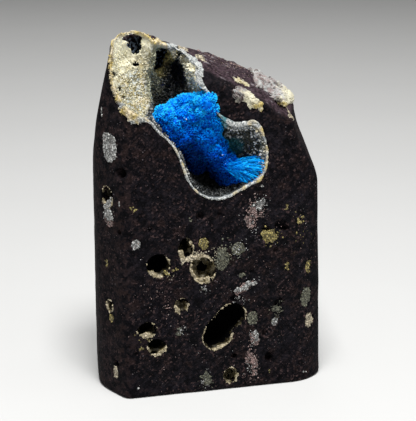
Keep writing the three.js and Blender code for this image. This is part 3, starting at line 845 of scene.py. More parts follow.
def crust_finish(look):
    """The crusts on the top: mottled white and pinkish, with cream and yellow parts and brown gaps."""
    f = Finish("crust_zeolite", 0.62, 0.2, 0.12)
    cloud, fine, broad = f.noise(0.8, 4), f.noise(0.3, 3, 0.7), f.noise(1.7, 3, 0.6)
    body = f.mix(f.step(cloud, 0.35, 0.6), tinted(look.dull, 0.9), tinted(look.white, 0.64))
    body = f.mix(f.times(f.step(broad, 0.5, 0.66), 0.8), body, tinted(look.pink, 0.35))
    cream = f.mix(f.step(cloud, 0.35, 0.65), tinted(look.bloom, 0.8), tinted(look.bloom, 0.58))
    cream = f.mix(f.times(f.step(broad, 0.48, 0.6), 0.5), cream, tinted(look.cream, 0.8))
    body = f.mix(f.mark("cream"), body, cream)
    body = f.mix(f.times(f.mark("yellow"), f.step(cloud, 0.3, 0.55)), body, look.yellow)
    body = f.mix(f.times(f.mark("gap"), f.step(fine, 0.35, 0.55)), body, tinted(look.pink, 0.12))
    return f.finish(body, f.bump(fine, 0.08, f.bump(cloud, 0.1)))


def cavansite_finish(look):
    """Vivid blue blades by their tone, which holds painted shade deep between the knobs, low down and on the
    column's left, and painted light paler towards the tips and on its top.
    """
    f = Finish("cavansite", 0.45, 0.15, 0.3)
    f.shader.inputs["Specular Tint"].default_value = (0.15, 0.6, 1.0, 1.0)
    own = f.noise(0.4, 3, 0.7)
    tone = f.plus(f.mark("tone"), f.times(f.plus(own, -0.5), 0.25))
    blue = f.ramp(tone, (0.0, look.deep), (0.36, look.blue), (0.72, look.bright), (1.0, look.tip))
    blue = f.mix(f.mark("teal"), blue, look.teal)
    blue = f.mix(f.mark("snow"), blue, (0.8, 0.88, 0.9))
    return f.finish(blue, f.bump(own, 0.03))


# ---------------------------------------------------------------- settings

def colour_setting(name, description, default):
    return FloatVectorProperty(name=name, description=description, default=default, subtype="COLOR",
                               size=3, min=0.0, max=1.0)


def length_setting(name, description, default):
    return FloatProperty(name=name, description=description, default=default, min=0.0, unit="LENGTH",
                         subtype="DISTANCE", precision=5)


def count_setting(name, description, default, least, most):
    return IntProperty(name=name, description=description, default=default, min=least, max=most)


def power_setting(name, description, default, unit):
    return FloatProperty(name=name, description=description, default=default, min=0.0, unit=unit)


class BasaltLook(bpy.types.PropertyGroup):
    """The dark matrix."""
    dark: colour_setting("Stone", "Main colour of the basalt", (0.0056, 0.0053, 0.0075))
    brown: colour_setting("Brown grains", "Colour of the brown grains", (0.0265, 0.0165, 0.016))
    fleck: colour_setting("Flecks", "Colour of the pale flecks", (0.15, 0.13, 0.14))
    # Painted light: the broken top's purple-brown tint, made much lighter than the sides as light from above
    # would make it.
    dust: colour_setting("Dusty top", "Colour of the broken top", (0.058, 0.038, 0.046))
    # The glint colour is a painted highlight: light caught by crystal faces, painted on.
    glint: colour_setting("Glints", "Colour of the crystal faces under the peak", (0.10, 0.13, 0.17))
    saw_marks: length_setting("Saw marks", "Depth of the saw marks on the sides", 0.00012)
    roughness_depth: length_setting("Roughness", "Depth of the stone's fine roughness", 0.00012)


class ZeoliteLook(bpy.types.PropertyGroup):
    """The linings, crusts and plugs."""
    cream: colour_setting("Cream", "Colour of the rims and crusts", (0.60, 0.52, 0.37))
    white: colour_setting("White", "Colour of the clean crystals", (0.62, 0.63, 0.61))
    yellow: colour_setting("Yellow", "Colour of the stained crust", (0.52, 0.41, 0.14))
    bloom: colour_setting("Bloom", "Colour of the palest crust", (0.86, 0.82, 0.62))
    grey: colour_setting("Grey druse", "Colour of the druse deep in the pocket", (0.17, 0.19, 0.19))
    olive: colour_setting("Olive druse", "Colour of the druse in the chimney", (0.16, 0.16, 0.11))
    teal: colour_setting("Teal", "Colour of the druse beside the cluster", (0.012, 0.2, 0.24))
    dull: colour_setting("Dull crust", "Colour of the dull parts of the crusts", (0.30, 0.235, 0.225))
    gold: colour_setting("Gold", "Colour of the yellow plugs", (0.44, 0.36, 0.12))
    pink: colour_setting("Pink", "Colour of the pink plugs", (0.36, 0.24, 0.22))
    celadon: colour_setting("Celadon", "Colour of the grey-green plugs", (0.2, 0.2, 0.14))
    crystal: length_setting("Druse crystal", "Length of the druse crystals in the pocket", 0.00045)
    count: count_setting("Druse crystals", "How many crystals line the pocket", 9500, 100, 12000)


class CavansiteLook(bpy.types.PropertyGroup):
    """The blue cluster."""
    # Deep is mostly painted shade between the knobs and low on the column; bright and tips are partly painted
    # light on its top and tips.
    deep: colour_setting("Deep", "Colour between the knobs", (0.0, 0.005, 0.05))
    blue: colour_setting("Blue", "Main colour of the blades", (0.0, 0.08, 0.55))
    bright: colour_setting("Bright", "Colour of the brighter knobs", (0.0, 0.30, 0.95))
    tip: colour_setting("Tips", "Colour of the brightest tips", (0.015, 0.55, 1.0))
    teal: colour_setting("Teal", "Colour of the thin edge beside the niche", (0.0, 0.2, 0.27))
    knob: length_setting("Knob", "Radius of the small knobs", 0.00095)
    blade: length_setting("Blade", "Length of a blade beyond its knob", 0.00026)
    width: length_setting("Blade width", "Half width of a blade", 0.00016)
    count: count_setting("Blades", "How many blades the cluster has", 12000, 500, 13000)
    needles: count_setting("Fan blades", "How many blades the fan has", 4200, 20, 5000)


class StageLook(bpy.types.PropertyGroup):
    """The floor and the lights."""
    floor: colour_setting("Floor", "Colour of the floor", (0.62, 0.62, 0.61))
    key: power_setting("Key light", "Power of the main light", 4.4, "POWER")
    fill: power_setting("Fill light", "Power of the light on the right", 0.4, "POWER")
    sky: power_setting("Sky", "Brightness of the surroundings", 0.17, "NONE")


# ---------------------------------------------------------------- pieces

# Boxes round the block, the pocket, the cluster and the crusts.
WHOLE = ((LEFT - 1, FRONT - 1, -1), (RIGHT + 1.5, BACK + 1, 61.5))
POCKET_BOX = ((-20.6, FRONT - 1.2, 31), (8.6, 2.6, 61.2))
CLUSTER_BOX = ((-14, -14, 32), (6, 0, 53))
CRUST_BOX = ((-3, -15, 42), (18, 13, 54))


def box_of(at, radii, more=1.0):
    """A box round a ball, with more room on every side."""
    reach = max(radii) + more
    return np.array(at) - reach, np.array(at) + reach


def facing(points, reach=0.35):
    """The way that the bare block's surface faces beside points."""
    steps = reach * np.eye(3)
    return unit(np.stack([bare_block(*(points + s).T) - bare_block(*(points - s).T) for s in steps], 1))


def settle(points):
    """Moves points onto the block's surface, and gives the way each faces."""
    for _ in range(6):
        points = points - facing(points) * bare_block(*points.T)[:, None]
    out = facing(points)
    return points - out * block(*points.T)[:, None], out


def stray_pits(rng):
    """Small open pits here and there on the sides and the top: middles and half widths."""
    pits = []
    for low, high, count in STRAY_PITS:
        spots = rng.uniform(low, high, (count, 3))
        radii = rng.uniform(0.2, 0.75, count) ** 1.3 + 0.12
        pits += [(tuple(spot), (r, 1.1 * r, 1.3 * r)) for spot, r in zip(settle(spots)[0], radii)]
    return pits


def filled_holes():
    """The name, the mineral and the shape of each filled hole."""
    for number, (name, (*spec, mineral)) in enumerate(FILLED_HOLES.items()):
        yield name, mineral, Hole(*spec, seed=FILLED_SEED + number)


def hollow_relief(x, y, z):
    """How the walls of the hollows under the peak wander."""
    return 0.3 * noise(x, y, z, 1.0, 7, 2)


class SPECIMEN_OT_basalt(bpy.types.Operator):
    """Build the basalt block with its pocket and gas holes"""
    bl_idname = "specimen.basalt"
    bl_label = "Basalt block"

    def execute(self, context):
        grid = Grid(*WHOLE, "block", block)
        grid.carve(POCKET_BOX, pocket, POCKET_SEAT)
        for at, radii in PEAK_HOLLOWS:
            grid.carve(box_of(at, radii), lambda x, y, z: pebble(x, y, z, at, radii) + hollow_relief(x, y, z))
        for name in OPEN_HOLES:
            hole = open_hole(name)
            grid.carve(hole.box(), hole.field, LINING_SEAT)
        for _, _, hole in filled_holes():
            grid.carve(hole.box(), hole.field, PLUG_SEAT)
        for number, spec in enumerate(PITS):
            pit = Hole(*spec, seed=PIT_SEED + number)
            grid.carve(pit.box(), pit.field)
        for at, radii in stray_pits(np.random.default_rng(SEEDS["pits"])):
            grid.carve(box_of(at, radii, 0.6), lambda x, y, z: pebble(x, y, z, at, radii)
                       + 0.12 * noise(x, y, z, 0.6, 5))
        points, tris = grid.mesh()
        x, y, z = points.T
        depth = -block(x, y, z)
        top = ease(tops(x, y, z) - sides(x, y, z), -0.8, 0.2) * ease(y + 0.25 * x, -10.5, -8.5)
        # Marks: the top's own tint with painted light, painted shade in the hollows and painted glints under
        # the peak.
        place_piece(
            "basalt_block", points, tris, basalt_finish(context.scene.specimen_basalt), "basalt",
            ["basalt_matrix"], dust=top * (1 - ease(depth, 0.3, 0.9)), hollow=ease(depth, 0.45, 1.6),
            glint=ease(depth, 0.4, 0.8) * ease(z, 53, 54), warm=0.5 * ease(-15.5 - x, -1, 1.5))
        return {"FINISHED"}


def pocket_marks(points):
    """Where each kind of zeolite lies in the pocket, and where shade is painted on it."""
    x, y, z = points.T
    depth = -block(x, y, z)
    cave, flue, lobe = bowl(x, y, z), pebble(x, y, z, *CHIMNEY), pebble(x, y, z, *LOBE)
    blue = np.min([far(x, y, z, head) - head[3] for head in HEADS], 0)
    lobe = ease(np.minimum(cave, flue) - lobe, -0.4, 0.9)
    flue = ease(cave - flue, -0.6, 0.8) * ease(z, 45, 48)
    right = ease(x + 0.3 * y, -9.6, -7.8)
    ragged = 0.35 * noise(x, y, z, 0.9, 33, 2) + 0.25 * noise(x, y, z, 0.4, 35)
    low = 1 - ease(z, 35.5, 39.5)
    niche = ease(x, -1.5, 0.5) * (1 - low) * (1 - ease(z, 47, 48))
    outer = (noise(x, y, z, 1.6, 34, 2) + 0.4 * ease(x, 3.5, 6) + 0.7 * ease(z, 46, 48) * ease(-x, 10, 12)
             + 0.6 * ease(z, 50, 52) - 1.2 * ease(x, -8.5, -7) * ease(z, 47, 48))
    stain = np.min([far(x, y, z, at) for at in STAINS], 0) + ragged
    teal = np.minimum(blue + 2 * ragged, far(x, y, z, TEAL) + ragged - 1)
    teal = 0.9 * (1 - ease(teal, 0.3, 1.6)) * (1 - lobe) * ease(x, -2, -0.5) * ease(z, 38, 40)
    back = flue * ease(y, -5.2, -3) * (1 - ease(z, 53.5, 55.5)) * ease(x, -9.2, -7.4)
    # Painted shade: under the column low in the pocket, deep inside, in the niche's depth and in the cleft
    # behind the chimney.
    shade = np.max([0.9 * low * ease(depth, 0.3, 1.3), ease(depth, 6, 9) * (1 - niche),
                    0.5 * niche * ease(depth, 0.7, 1.6), 0.95 * back], 0)
    return {
        "rim": 1 - ease(depth * (1 - 0.3 * niche) + ragged, 0.1, 0.6),
        "outer": ease(outer, 0.1, 0.5) * (1 - ease(depth, 0.2, 0.6)),
        "bloom": lobe * ease(z - 0.5 * (x + 18) + 3 * noise(x, y, z, 2.5, 36, 2), 49.5, 55.5),
        "lobe": lobe,
        "olive": (1 - lobe) * np.maximum(flue * (1 - right), 0.25 * niche),
        "pale": (1 - lobe) * flue * right * ease(-y, 1, 3.5),
        "stain": 1 - ease(stain, 1.1, 1.9),
        "teal": teal,
        "dark": (1 - lobe) * (1 - 0.8 * teal) * shade,
        "niche": (1 - lobe) * niche,
    }


def pocket_shell(x, y, z):
    """Distance outside the zeolite shell of the pocket."""
    middle, skin = pocket(x, y, z), block(x, y, z)
    deep = ease(-skin, 0.2, 1.4)
    wall = 0.2 + 0.1 * deep + (0.13 - 0.03 * deep) * noise(x, y, z, 1.1, 40, 3)
    lumps = 1 + noise(x, y, z, 0.9, 42, 2)
    for at, reach, more in THICK:
        wall = wall + more * np.clip(1.4 - 1.4 * far(x, y, z, at) / reach, 0, 1) * lumps
    field = np.maximum(np.abs(middle) - wall, skin - 0.1 - 0.25 * noise(x, y, z, 0.8, 41, 3))
    relief = hollow_relief(x, y, z)
    for at, radii in PEAK_HOLLOWS:
        field = np.maximum(field, -pebble(x, y, z, at, radii) - relief)
    return field


class SPECIMEN_OT_pocket(bpy.types.Operator):
    """Build the zeolite shell of the pocket and the druse on it"""
    bl_idname = "specimen.pocket"
    bl_label = "Pocket lining"

    def execute(self, context):
        look = context.scene.specimen_zeolite
        rng = np.random.default_rng(SEEDS["pocket"])
        grid = Grid(*POCKET_BOX, "pocket", pocket_shell)
        grid.grow_grains(0.55, 3, relief=0.1, spread=0.12, middle=0.5, reach=0.4)
        points, tris = grid.mesh()

        middle = points[tris].mean(1)
        depth, marks = -block(*middle.T), pocket_marks(middle)
        sugar = np.maximum(marks["niche"], marks["lobe"])
        inside = ease(-pocket(*middle.T), 0.05, 0.2) * ease(depth, 0.5 - 0.45 * sugar, 1.2 - 0.8 * sugar)
        inside = np.maximum(inside, marks["lobe"] * (1 - ease(depth, 0.3, 0.6)))
        inside = inside * (1 - 0.85 * ease(middle[:, 2], 56, 57))
        feet, out = on_faces(points, tris, inside, look.count, rng)
        out = unit(out + rng.normal(scale=0.3, size=out.shape))
        foot_marks = pocket_marks(feet)
        bright = foot_marks["niche"] * (rng.random(look.count) < 0.22)
        length = look.crystal / MM * rng.uniform(0.5, 1.3, look.count)
        length *= 1 + 0.3 * bright - 0.4 * foot_marks["lobe"]
        wide = length * rng.uniform(0.32, 0.52, look.count)
        thick = wide * rng.uniform(0.5, 0.9, look.count)
        blades, blade_tris, up = crystals(feet, out, length, wide, thick, rng)

        marks = pocket_marks(points)
        foot_marks["pale"] = np.maximum(foot_marks["pale"], bright)
        # The pale crystals in the niche take no painted shade.
        foot_marks["dark"] = foot_marks["dark"] * (1 - bright)
        own = rng.random(look.count) ** 1.6 * (1 - 0.5 * foot_marks["olive"])
        marks["sugar"] = np.zeros(len(points))
        foot_marks["sugar"] = foot_marks["lobe"] * (rng.random(look.count) < 0.4)
        marks = {key: np.concatenate([value, np.repeat(foot_marks[key], BLADE_POINTS)])
                 for key, value in marks.items()}
        marks["tone"] = np.concatenate([0.22 + 0.1 * noise(*points.T, 0.7, 9),
                                        np.repeat(own, BLADE_POINTS) * (0.5 + 0.5 * up)])
        place_piece(
            "pocket_druse", np.concatenate([points, blades]), [tris, blade_tris + len(points)],
            lining_finish(look), "zeolite", ["pocket_lining"], smooth=[True, False], **marks)
        return {"FINISHED"}


def roomy(spots, wall):
    """Whether spots lie clear of the pocket's wall, or a little in front of the face."""
    skin = block(*spots.T)
    return ((pocket(*spots.T) < -wall) | (skin > -0.8)) & (skin < 1.4)


def buried(spots, middles, sizes):
    """How far inside the nearest of some balls each spot lies."""
    best = np.full(len(spots), -9.0)
    for at, r in zip(middles, sizes):
        best = np.maximum(best, r - np.linalg.norm(spots - at, axis=1))
    return best


def grow_knobs(middles, reach, knob, rng):
    """Small knobs spread evenly over the cluster's balls: middles and half widths."""
    knobs = []
    for at, r in zip(middles, reach):
        count = int(4 * math.pi * r * r / (KNOB_SPACING * knob) ** 2)
        turn = np.arange(count) * math.pi * (3 - 5 ** 0.5) + rng.random() * 6
        high = 1 - 2 * (np.arange(count) + 0.5) / count
        ring = np.sqrt(1 - high ** 2)
        ways = np.stack([ring * np.cos(turn), ring * np.sin(turn), high], 1)
        spots = at + (ways + rng.normal(scale=0.13, size=ways.shape)) * r
        knobs.append(spots[buried(spots, middles, reach) < 0.4])
    knobs = np.concatenate(knobs)
    knobs = knobs[roomy(knobs, 0.7)]
    return knobs, knob * rng.uniform(0.65, 1.25, len(knobs))


def cluster_core(middles, reach, knobs, sizes):
    """The body under the blades: balls and knobs run together, and cut off short of the pocket's wall."""
    def body(x, y, z):
        field = pebble(x, y, z, middles[0], (reach[0],) * 3)
        for at, r in zip(middles[1:], reach[1:]):
            field = smooth_min(field, pebble(x, y, z, at, (r,) * 3), BALL_BLEND)
        return field

    grid = Grid(*CLUSTER_BOX, "cluster", body)
    for at, r in zip(knobs, sizes):
        cuts, axes = grid.window(at - r - 0.5, at + r + 0.5)
        ball = pebble(*axes, at, (0.9 * r,) * 3) + 0.12 * noise(*axes, 0.6, 44, 2)
        grid.values[cuts] = smooth_min(grid.values[cuts], ball, KNOB_BLEND)
    axes = np.ix_(*grid.axes)
    skin = block(*axes)
    room = np.maximum(np.minimum(pocket(*axes) + 0.2, -skin - 0.8), skin - 1.3)
    grid.values = np.maximum(grid.values, room)
    return grid.mesh()


def fan(count, rng):
    """The fan of long blades at the column's foot: feet, directions and lengths."""
    turn = np.radians(FAN_TOP - FAN_ANGLE * rng.random(count) ** 1.1)
    ways = unit(np.stack([np.cos(turn), rng.uniform(-0.45, 0.35, count), np.sin(turn)], 1))
    feet = FAN_ROOT + rng.normal(scale=(0.3, 0.5, 0.35), size=(count, 3)) + np.outer(turn, (0.3, 0, 1.5))
    long = rng.random(count) < FAN_SHARE
    start = np.where(long, 0, rng.uniform(-1.8, 3.8, count))
    feet = feet + ways * start[:, None] - np.outer(1 - ease(start, -1.8, 1.6), (0, 1.5, 0)) * ~long[:, None]
    ways = unit(ways + np.where(long, 0.03, 0.2)[:, None] * rng.normal(size=(count, 3)))
    length = np.where(long, FAN_LENGTH * rng.uniform(0.4, 1.0, count), rng.uniform(0.4, 1.1, count))
    for _ in range(16):
        x, y, z = (feet + ways * length[:, None]).T
        length = np.where(pocket(x, np.maximum(y, FRONT), z) < -0.3, length, 0.9 * length)
    x, y, z = feet.T
    free = (pocket(x, np.maximum(y, FRONT), z) < -0.3) & (y > FRONT - 1)
    return feet[free], ways[free], length[free]


def column_shade_and_light(points, tone):
    """Painted shade and light on the column's tone: deeper low down and on its left, paler at its top, and a
    little paler beside the fan.
    """
    x, _, z = points.T
    aside = -0.82 * (x + 6.6) - 0.57 * (z - 46.9)
    tone = (tone + 0.26 * ease(z, 44, 49.5)) * (0.5 + 0.5 * ease(z, 37, 45.5))
    tone = tone * (1 - 0.8 * ease(aside, 0.2, 2.4) * ease(-z, -46, -41))
    return tone + 0.12 * ease(x + 0.4 * (z - 37), -0.6, 1.4) * (1 - ease(z, 38, 40))


class SPECIMEN_OT_cavansite(bpy.types.Operator):
    """Build the blue cluster: knobs of blades up a leaning column, and the fan at its foot"""
    bl_idname = "specimen.cavansite"
    bl_label = "Cavansite cluster"

    def execute(self, context):
        look = context.scene.specimen_cavansite
        rng = np.random.default_rng(SEEDS["cluster"])
        knob, blade, width = look.knob / MM, look.blade / MM, look.width / MM
        heads = np.array(HEADS)
        middles, reach = heads[:, :3], heads[:, 3] - KNOB_STAND * knob - blade
        knobs, sizes = grow_knobs(middles, reach, knob, rng)
        knob_tone = rng.random(len(knobs))
        core, core_tris = cluster_core(middles, reach, knobs, sizes)

        pick = rng.integers(0, len(knobs), 6 * look.count)
        ways = unit(rng.normal(size=(len(pick), 3)))
        tips = knobs[pick] + ways * (sizes[pick] + blade)[:, None]
        free = (buried(tips, middles, reach + 0.2) < 0) & roomy(tips, 0.3)
        free &= buried(tips, knobs, sizes) < 0.1
        chosen = np.flatnonzero(free)[:look.count]
        pick, ways = pick[chosen], unit(ways[chosen] + rng.normal(scale=0.12, size=(len(chosen), 3)))
        length = blade * rng.uniform(0.6, 1.35, len(chosen))
        wide = width * rng.uniform(0.8, 1.45, len(chosen))
        thick = wide * rng.uniform(0.3, 0.6, len(chosen))
        feet = knobs[pick] + ways * sizes[pick][:, None]
        blades, blade_tris, up = crystals(feet, ways, length, wide, thick, rng, roots=1.2, shoulder=0.45)
        # A blade's tone is random, by its knob and in patches, with painted light where the blade faces up.
        own = (0.2 * rng.random(len(chosen)) + 0.5 * knob_tone[pick] + 0.3 * ways[:, 2]
               + 0.35 * noise(*feet.T, 2.2, 47, 2))
        # Painted shade at each blade's root between the knobs, paler towards the tip.
        tone = 0.17 + 0.22 * up + 0.62 * np.repeat(own, BLADE_POINTS)
        column = np.concatenate([core, blades])
        # The core between the knobs keeps a low tone: painted shade.
        tone = column_shade_and_light(column, np.concatenate([0.22 + 0.15 * noise(*core.T, 1.2, 46, 2), tone]))

        fan_feet, fan_ways, fan_length = fan(look.needles, rng)
        fan_wide = width * rng.uniform(0.4, 0.85, len(fan_feet))
        needles, needle_tris, fan_up = crystals(fan_feet, fan_ways, fan_length, fan_wide, 0.6 * fan_wide, rng,
                                                roots=0.3, shoulder=0.8)
        fan_own = rng.random(len(fan_feet)) * (0.6 + 0.4 * ease(fan_feet[:, 0], 1, 2.6))
        # Painted highlight: blades near the fan's middle are paler.
        fan_highlight = 1 - ease(np.linalg.norm(fan_feet - FAN_HIGHLIGHT, axis=1), 0.8, 2.6)
        fan_tone = 0.34 + 0.16 * fan_up + np.repeat(0.42 * fan_own + 0.22 * fan_highlight, BLADE_POINTS)

        points = np.concatenate([column, needles])
        x, _, z = points.T
        right_edge = -0.8 + 0.4 * (46.8 - z)
        teal = 0.7 * ease(x - right_edge, -1.2, 0) * ease(z, 39.4, 40.6) * (1 - ease(z, 43.5, 45.5))
        teal[len(column):] = 0.14
        snow = np.zeros(len(points))
        for at in SNOW:
            first = len(core) + BLADE_POINTS * np.argmin(np.linalg.norm(feet - at, axis=1))
            snow[first:first + BLADE_POINTS] = 1
        place_piece(
            "cavansite_cluster", points,
            [core_tris, blade_tris + len(core), needle_tris + len(column)],
            cavansite_finish(look), "cavansite", ["cavansite"], smooth=[True, False, False],
            tone=np.concatenate([tone, fan_tone]), teal=teal, snow=snow)
        return {"FINISHED"}


# The crusts' outlines across and up as seen from the front left and a little above, how thick each is, how
# far it hangs below the edge of the top, how high its grains stand, and how many loose ones lie on it.
CRUSTS = {
    "ridge_crust": (
        ((7.1, 53.2), (8.9, 52.5), (11.4, 51.8), (13.2, 50.7), (14.5, 49.3), (15.4, 47.5), (14.8, 46.2),
         (13.5, 44.8), (12.6, 43.9), (11.9, 44.1), (11.2, 44.8), (10.5, 45.5), (10.2, 46.3), (9.3, 47),
         (8, 47.2), (7.7, 48.3), (7.6, 50.1), (7.1, 51.6)),
        1.1, 2.2, 0.12, 700),
    "fan_crust": (
        ((4, 46.5), (4.8, 47.2), (5.8, 46.9), (6.5, 46.5), (7.1, 45.9), (8, 44.9), (8.8, 44.1), (8.6, 43.3),
         (7.7, 43.5), (6.9, 43.4), (6.2, 43.8), (5.6, 44.3), (5, 44), (4.4, 44.3), (4, 45.2)),
        0.6, 2.4, 0.35, 900),
    "strip_crust": (
        ((4.1, 48.6), (4.9, 49.1), (5.8, 48.6), (6.8, 47.9), (6.7, 47.1), (5.5, 47.5), (4.6, 47.9)),
        0.45, 1.2, 0.35, 150),
}


# The right and up directions of the view that the crusts' outlines are drawn in.
CRUST_RIGHT, CRUST_UP = (0.966, -0.259), (0.067, 0.25, 0.966)


def crust_view(x, y, z):
    """Where points lie across and up in that view."""
    return CRUST_RIGHT[0] * x + CRUST_RIGHT[1] * y, CRUST_UP[0] * x + CRUST_UP[1] * y + CRUST_UP[2] * z


def crust_field(outline, thick, drop):
    """A crust that lies on the broken top inside an outline."""
    line = rounded(outline, 5)

    def field(x, y, z):
        across, up = crust_view(x, y, z)
        ragged = 0.4 * noise(x, y, z, 1.5, 61, 2) + 0.4 * noise(x, y, z, 0.55, 64, 2)
        inside = -outline_distance(line, across, up) + ragged
        lumps = 0.6 + 0.6 * noise(x, y, z, 1.6, 62, 2) + 0.25 * noise(x, y, z, 0.5, 63, 2)
        rise = thick * np.sqrt(np.clip(inside / 1.2, 0, 1)) * lumps * (1 + 0.4 * ease(across, 10, 12.5))
        skin = block(x, y, z)
        hang = drop + 2 * ease(across, 9.5, 11) * noise(x, y, z, 2.6, 67, 2)
        return np.maximum(np.maximum(skin - rise + 0.3 * (inside < 0), -skin - 0.7), -tops(x, y, z) - hang)
    return field


def crust_marks(name, points):
    """Where a crust is cream, where it is yellow, and where it has brown gaps."""
    across, up = crust_view(*points.T)
    wander = noise(*points.T, 1.2, 65, 2)
    if name == "ridge_crust":
        cream = ease(across - 0.35 * (up - 47) + 2 * wander, 11.2, 13.2)
        yellow = ease(45.1 - up + 0.5 * wander, 0, 0.6) * ease(across, 10.6, 11.4)
    elif name == "fan_crust":
        cream = ease(across - 0.8 * (up - 45) + 2.2 * wander, 4.6, 6.2)
        yellow = ease(across - 1.5 * (up - 44.6) + 1.5 * wander, 7.4, 9.2)
    else:
        cream, yellow = 0.8 + 0 * wander, 0.5 + 0.5 * wander
    gap = ease(noise(*points.T, 1.1, 66, 2), 0.15, 0.45) * (1 - cream)
    return {"cream": cream, "yellow": yellow, "gap": gap}


class SPECIMEN_OT_crusts(bpy.types.Operator):
    """Build the cream crusts on the broken top"""
    bl_idname = "specimen.crusts"
    bl_label = "Top crusts"

    def execute(self, context):
        finish = crust_finish(context.scene.specimen_zeolite)
        rng = np.random.default_rng(SEEDS["crusts"])
        for name, (outline, thick, drop, relief, count) in CRUSTS.items():
            grid = Grid(*CRUST_BOX, "crust", crust_field(outline, thick, drop))
            grid.grow_grains(0.5, 15, relief)
            points, tris = grid.mesh()
            skin = ease(block(*points[tris].mean(1).T), 0, 0.2)
            points, tris = beaded(points, tris, skin, count, CRUST_BEADS, rng)
            place_piece(name.replace("crust", "cream"), points, tris, finish, "zeolite", [name],
                        **crust_marks(name, points))
        return {"FINISHED"}


def lining_field(hole, top, bottom, down):
    """A lining on a hole's wall, with its thickness at the top and at the bottom, down to a depth."""
    def field(x, y, z):
        outer = hole.field(x, y, z) - 0.42
        share = ease(-(z - hole.at[2]) / hole.radii[2], -0.7, 0.8)
        wall = (top + (bottom - top) * share) * (0.6 + 2 * noise(x, y, z, 1.2, 70, 2))
        lip = 0.02 + 0.1 * noise(x, y, z, 0.5, 71, 2)
        skin = block(x, y, z)
        return np.maximum(np.maximum(outer, -outer - wall), np.maximum(skin - lip, -skin - down))
    return field


class SPECIMEN_OT_linings(bpy.types.Operator):
    """Build the thin linings of the open gas holes"""
    bl_idname = "specimen.linings"
    bl_label = "Hole linings"

    def execute(self, context):
        look = context.scene.specimen_zeolite
        brown = tinted(look.yellow, 0.35)
        finish = mineral_finish("lining_zeolite", brown, look.cream, look.yellow, 0.4, 0.5)
        rng = np.random.default_rng(SEEDS["linings"])
        for name, walls in LINING_WALLS.items():
            hole = open_hole(name)
            down = OLIVE_DEPTH if name in OLIVE_HOLES else LINING_DEPTH
            grid = Grid(*hole.box(), "lining", lining_field(hole, *walls, down))
            grid.grow_grains(0.45, 13, 0.3)
            points, tris = grid.mesh()
            lip = 1 - ease(-block(*points[tris].mean(1).T), 0.1, 0.5)
            points, tris = beaded(points, tris, lip, LINING_GRAINS, LINING_BEADS, rng)
            depth = -block(*points.T)
            # Painted shade: the linings darken deeper into their holes.
            deep = 0.75 * ease(depth, 0.1, 1.2) if name in OLIVE_HOLES else ease(depth, 0.1, 0.8)
            place_piece(f"{name}_rim", points, tris, finish, "zeolite", [f"{name}_lining"],
                        edge=0.5 * (1 - ease(depth, 0, 0.3)), deep=deep)
        return {"FINISHED"}


SLOTS = {"white": "white_zeolite", "pink": "pink_zeolite", "gold": "gold_zeolite", "celadon": "celadon",
         "zeolite": "zeolite", "cream": "zeolite"}


def plug_finishes(look):
    """The finish of each mineral that fills holes or lies on the stone."""
    rows = {
        "white": ("white_zeolite", tinted(look.white, 0.35), look.white, tinted(look.pink, 1.2), 0.3),
        "pink": ("pink_zeolite", tinted(look.pink, 0.4), look.pink, look.white, 0.26),
        "gold": ("gold_zeolite", tinted(look.gold, 0.45), look.gold, look.cream, 0.3),
        "celadon": ("celadon", tinted(look.celadon, 0.4), look.celadon, tinted(look.grey, 1.5), 0.26),
        "zeolite": ("plug_zeolite", tinted(look.cream, 0.6), look.cream, look.white, 0.3),
        "cream": ("cream_zeolite", tinted(look.cream, 0.7), look.cream, look.white, 0.3),
    }
    return {mineral: mineral_finish(*row) for mineral, row in rows.items()}


def plug_surface(hole, rise):
    """A plug of mineral that fills a hole nearly to the face."""
    def field(x, y, z):
        lip = rise + 0.1 * noise(x, y, z, 0.6, 80, 2)
        ragged = 0.3 * noise(x, y, z, 0.7, 81, 2) + 0.2 * noise(x, y, z, 0.3, 82)
        return smooth_max(hole.field(x, y, z) + ragged, block(x, y, z) - lip, 0.15)
    grid = Grid(*hole.box(), "plug", field)
    grid.grow_grains(0.42, 14, 0.3)
    return grid.mesh()


def smear_surface(hole, cover, seed):
    """A thin ragged smear of mineral on the stone, in a ball's reach; less cover leaves more islands."""
    rough = min(1, 0.3 + min(hole.radii))

    def field(x, y, z):
        skin = block(x, y, z)
        ragged = rough * (0.9 * noise(x, y, z, 1.3, seed, 2) + 0.8 * noise(x, y, z, 0.5, seed + 7, 2))
        film = skin - 0.12 - 0.15 * noise(x, y, z, 0.45, seed + 13, 2)
        return np.maximum(np.maximum(film, -skin - 0.25), hole.field(x, y, z) + ragged - cover)
    low, high = hole.box()
    if hole.at[1] < FRONT + 0.3:
        low[1], high[1] = FRONT - 0.8, FRONT + 0.9
    return Grid(low, high, "smear", field).mesh()


class SPECIMEN_OT_plugs(bpy.types.Operator):
    """Build the minerals that fill the closed gas holes"""
    bl_idname = "specimen.plugs"
    bl_label = "Mineral plugs"

    def execute(self, context):
        finishes = plug_finishes(context.scene.specimen_zeolite)
        for name, mineral, hole in filled_holes():
            points, tris = plug_surface(hole, PLUG_RISE)
            share = hole.field(*points.T) / min(hole.radii)
            place_piece(f"{name}_fill", points, tris, finishes[mineral], SLOTS[mineral], [name],
                        edge=0.7 * ease(share, -0.3, -0.1), deep=0 * share)
        return {"FINISHED"}


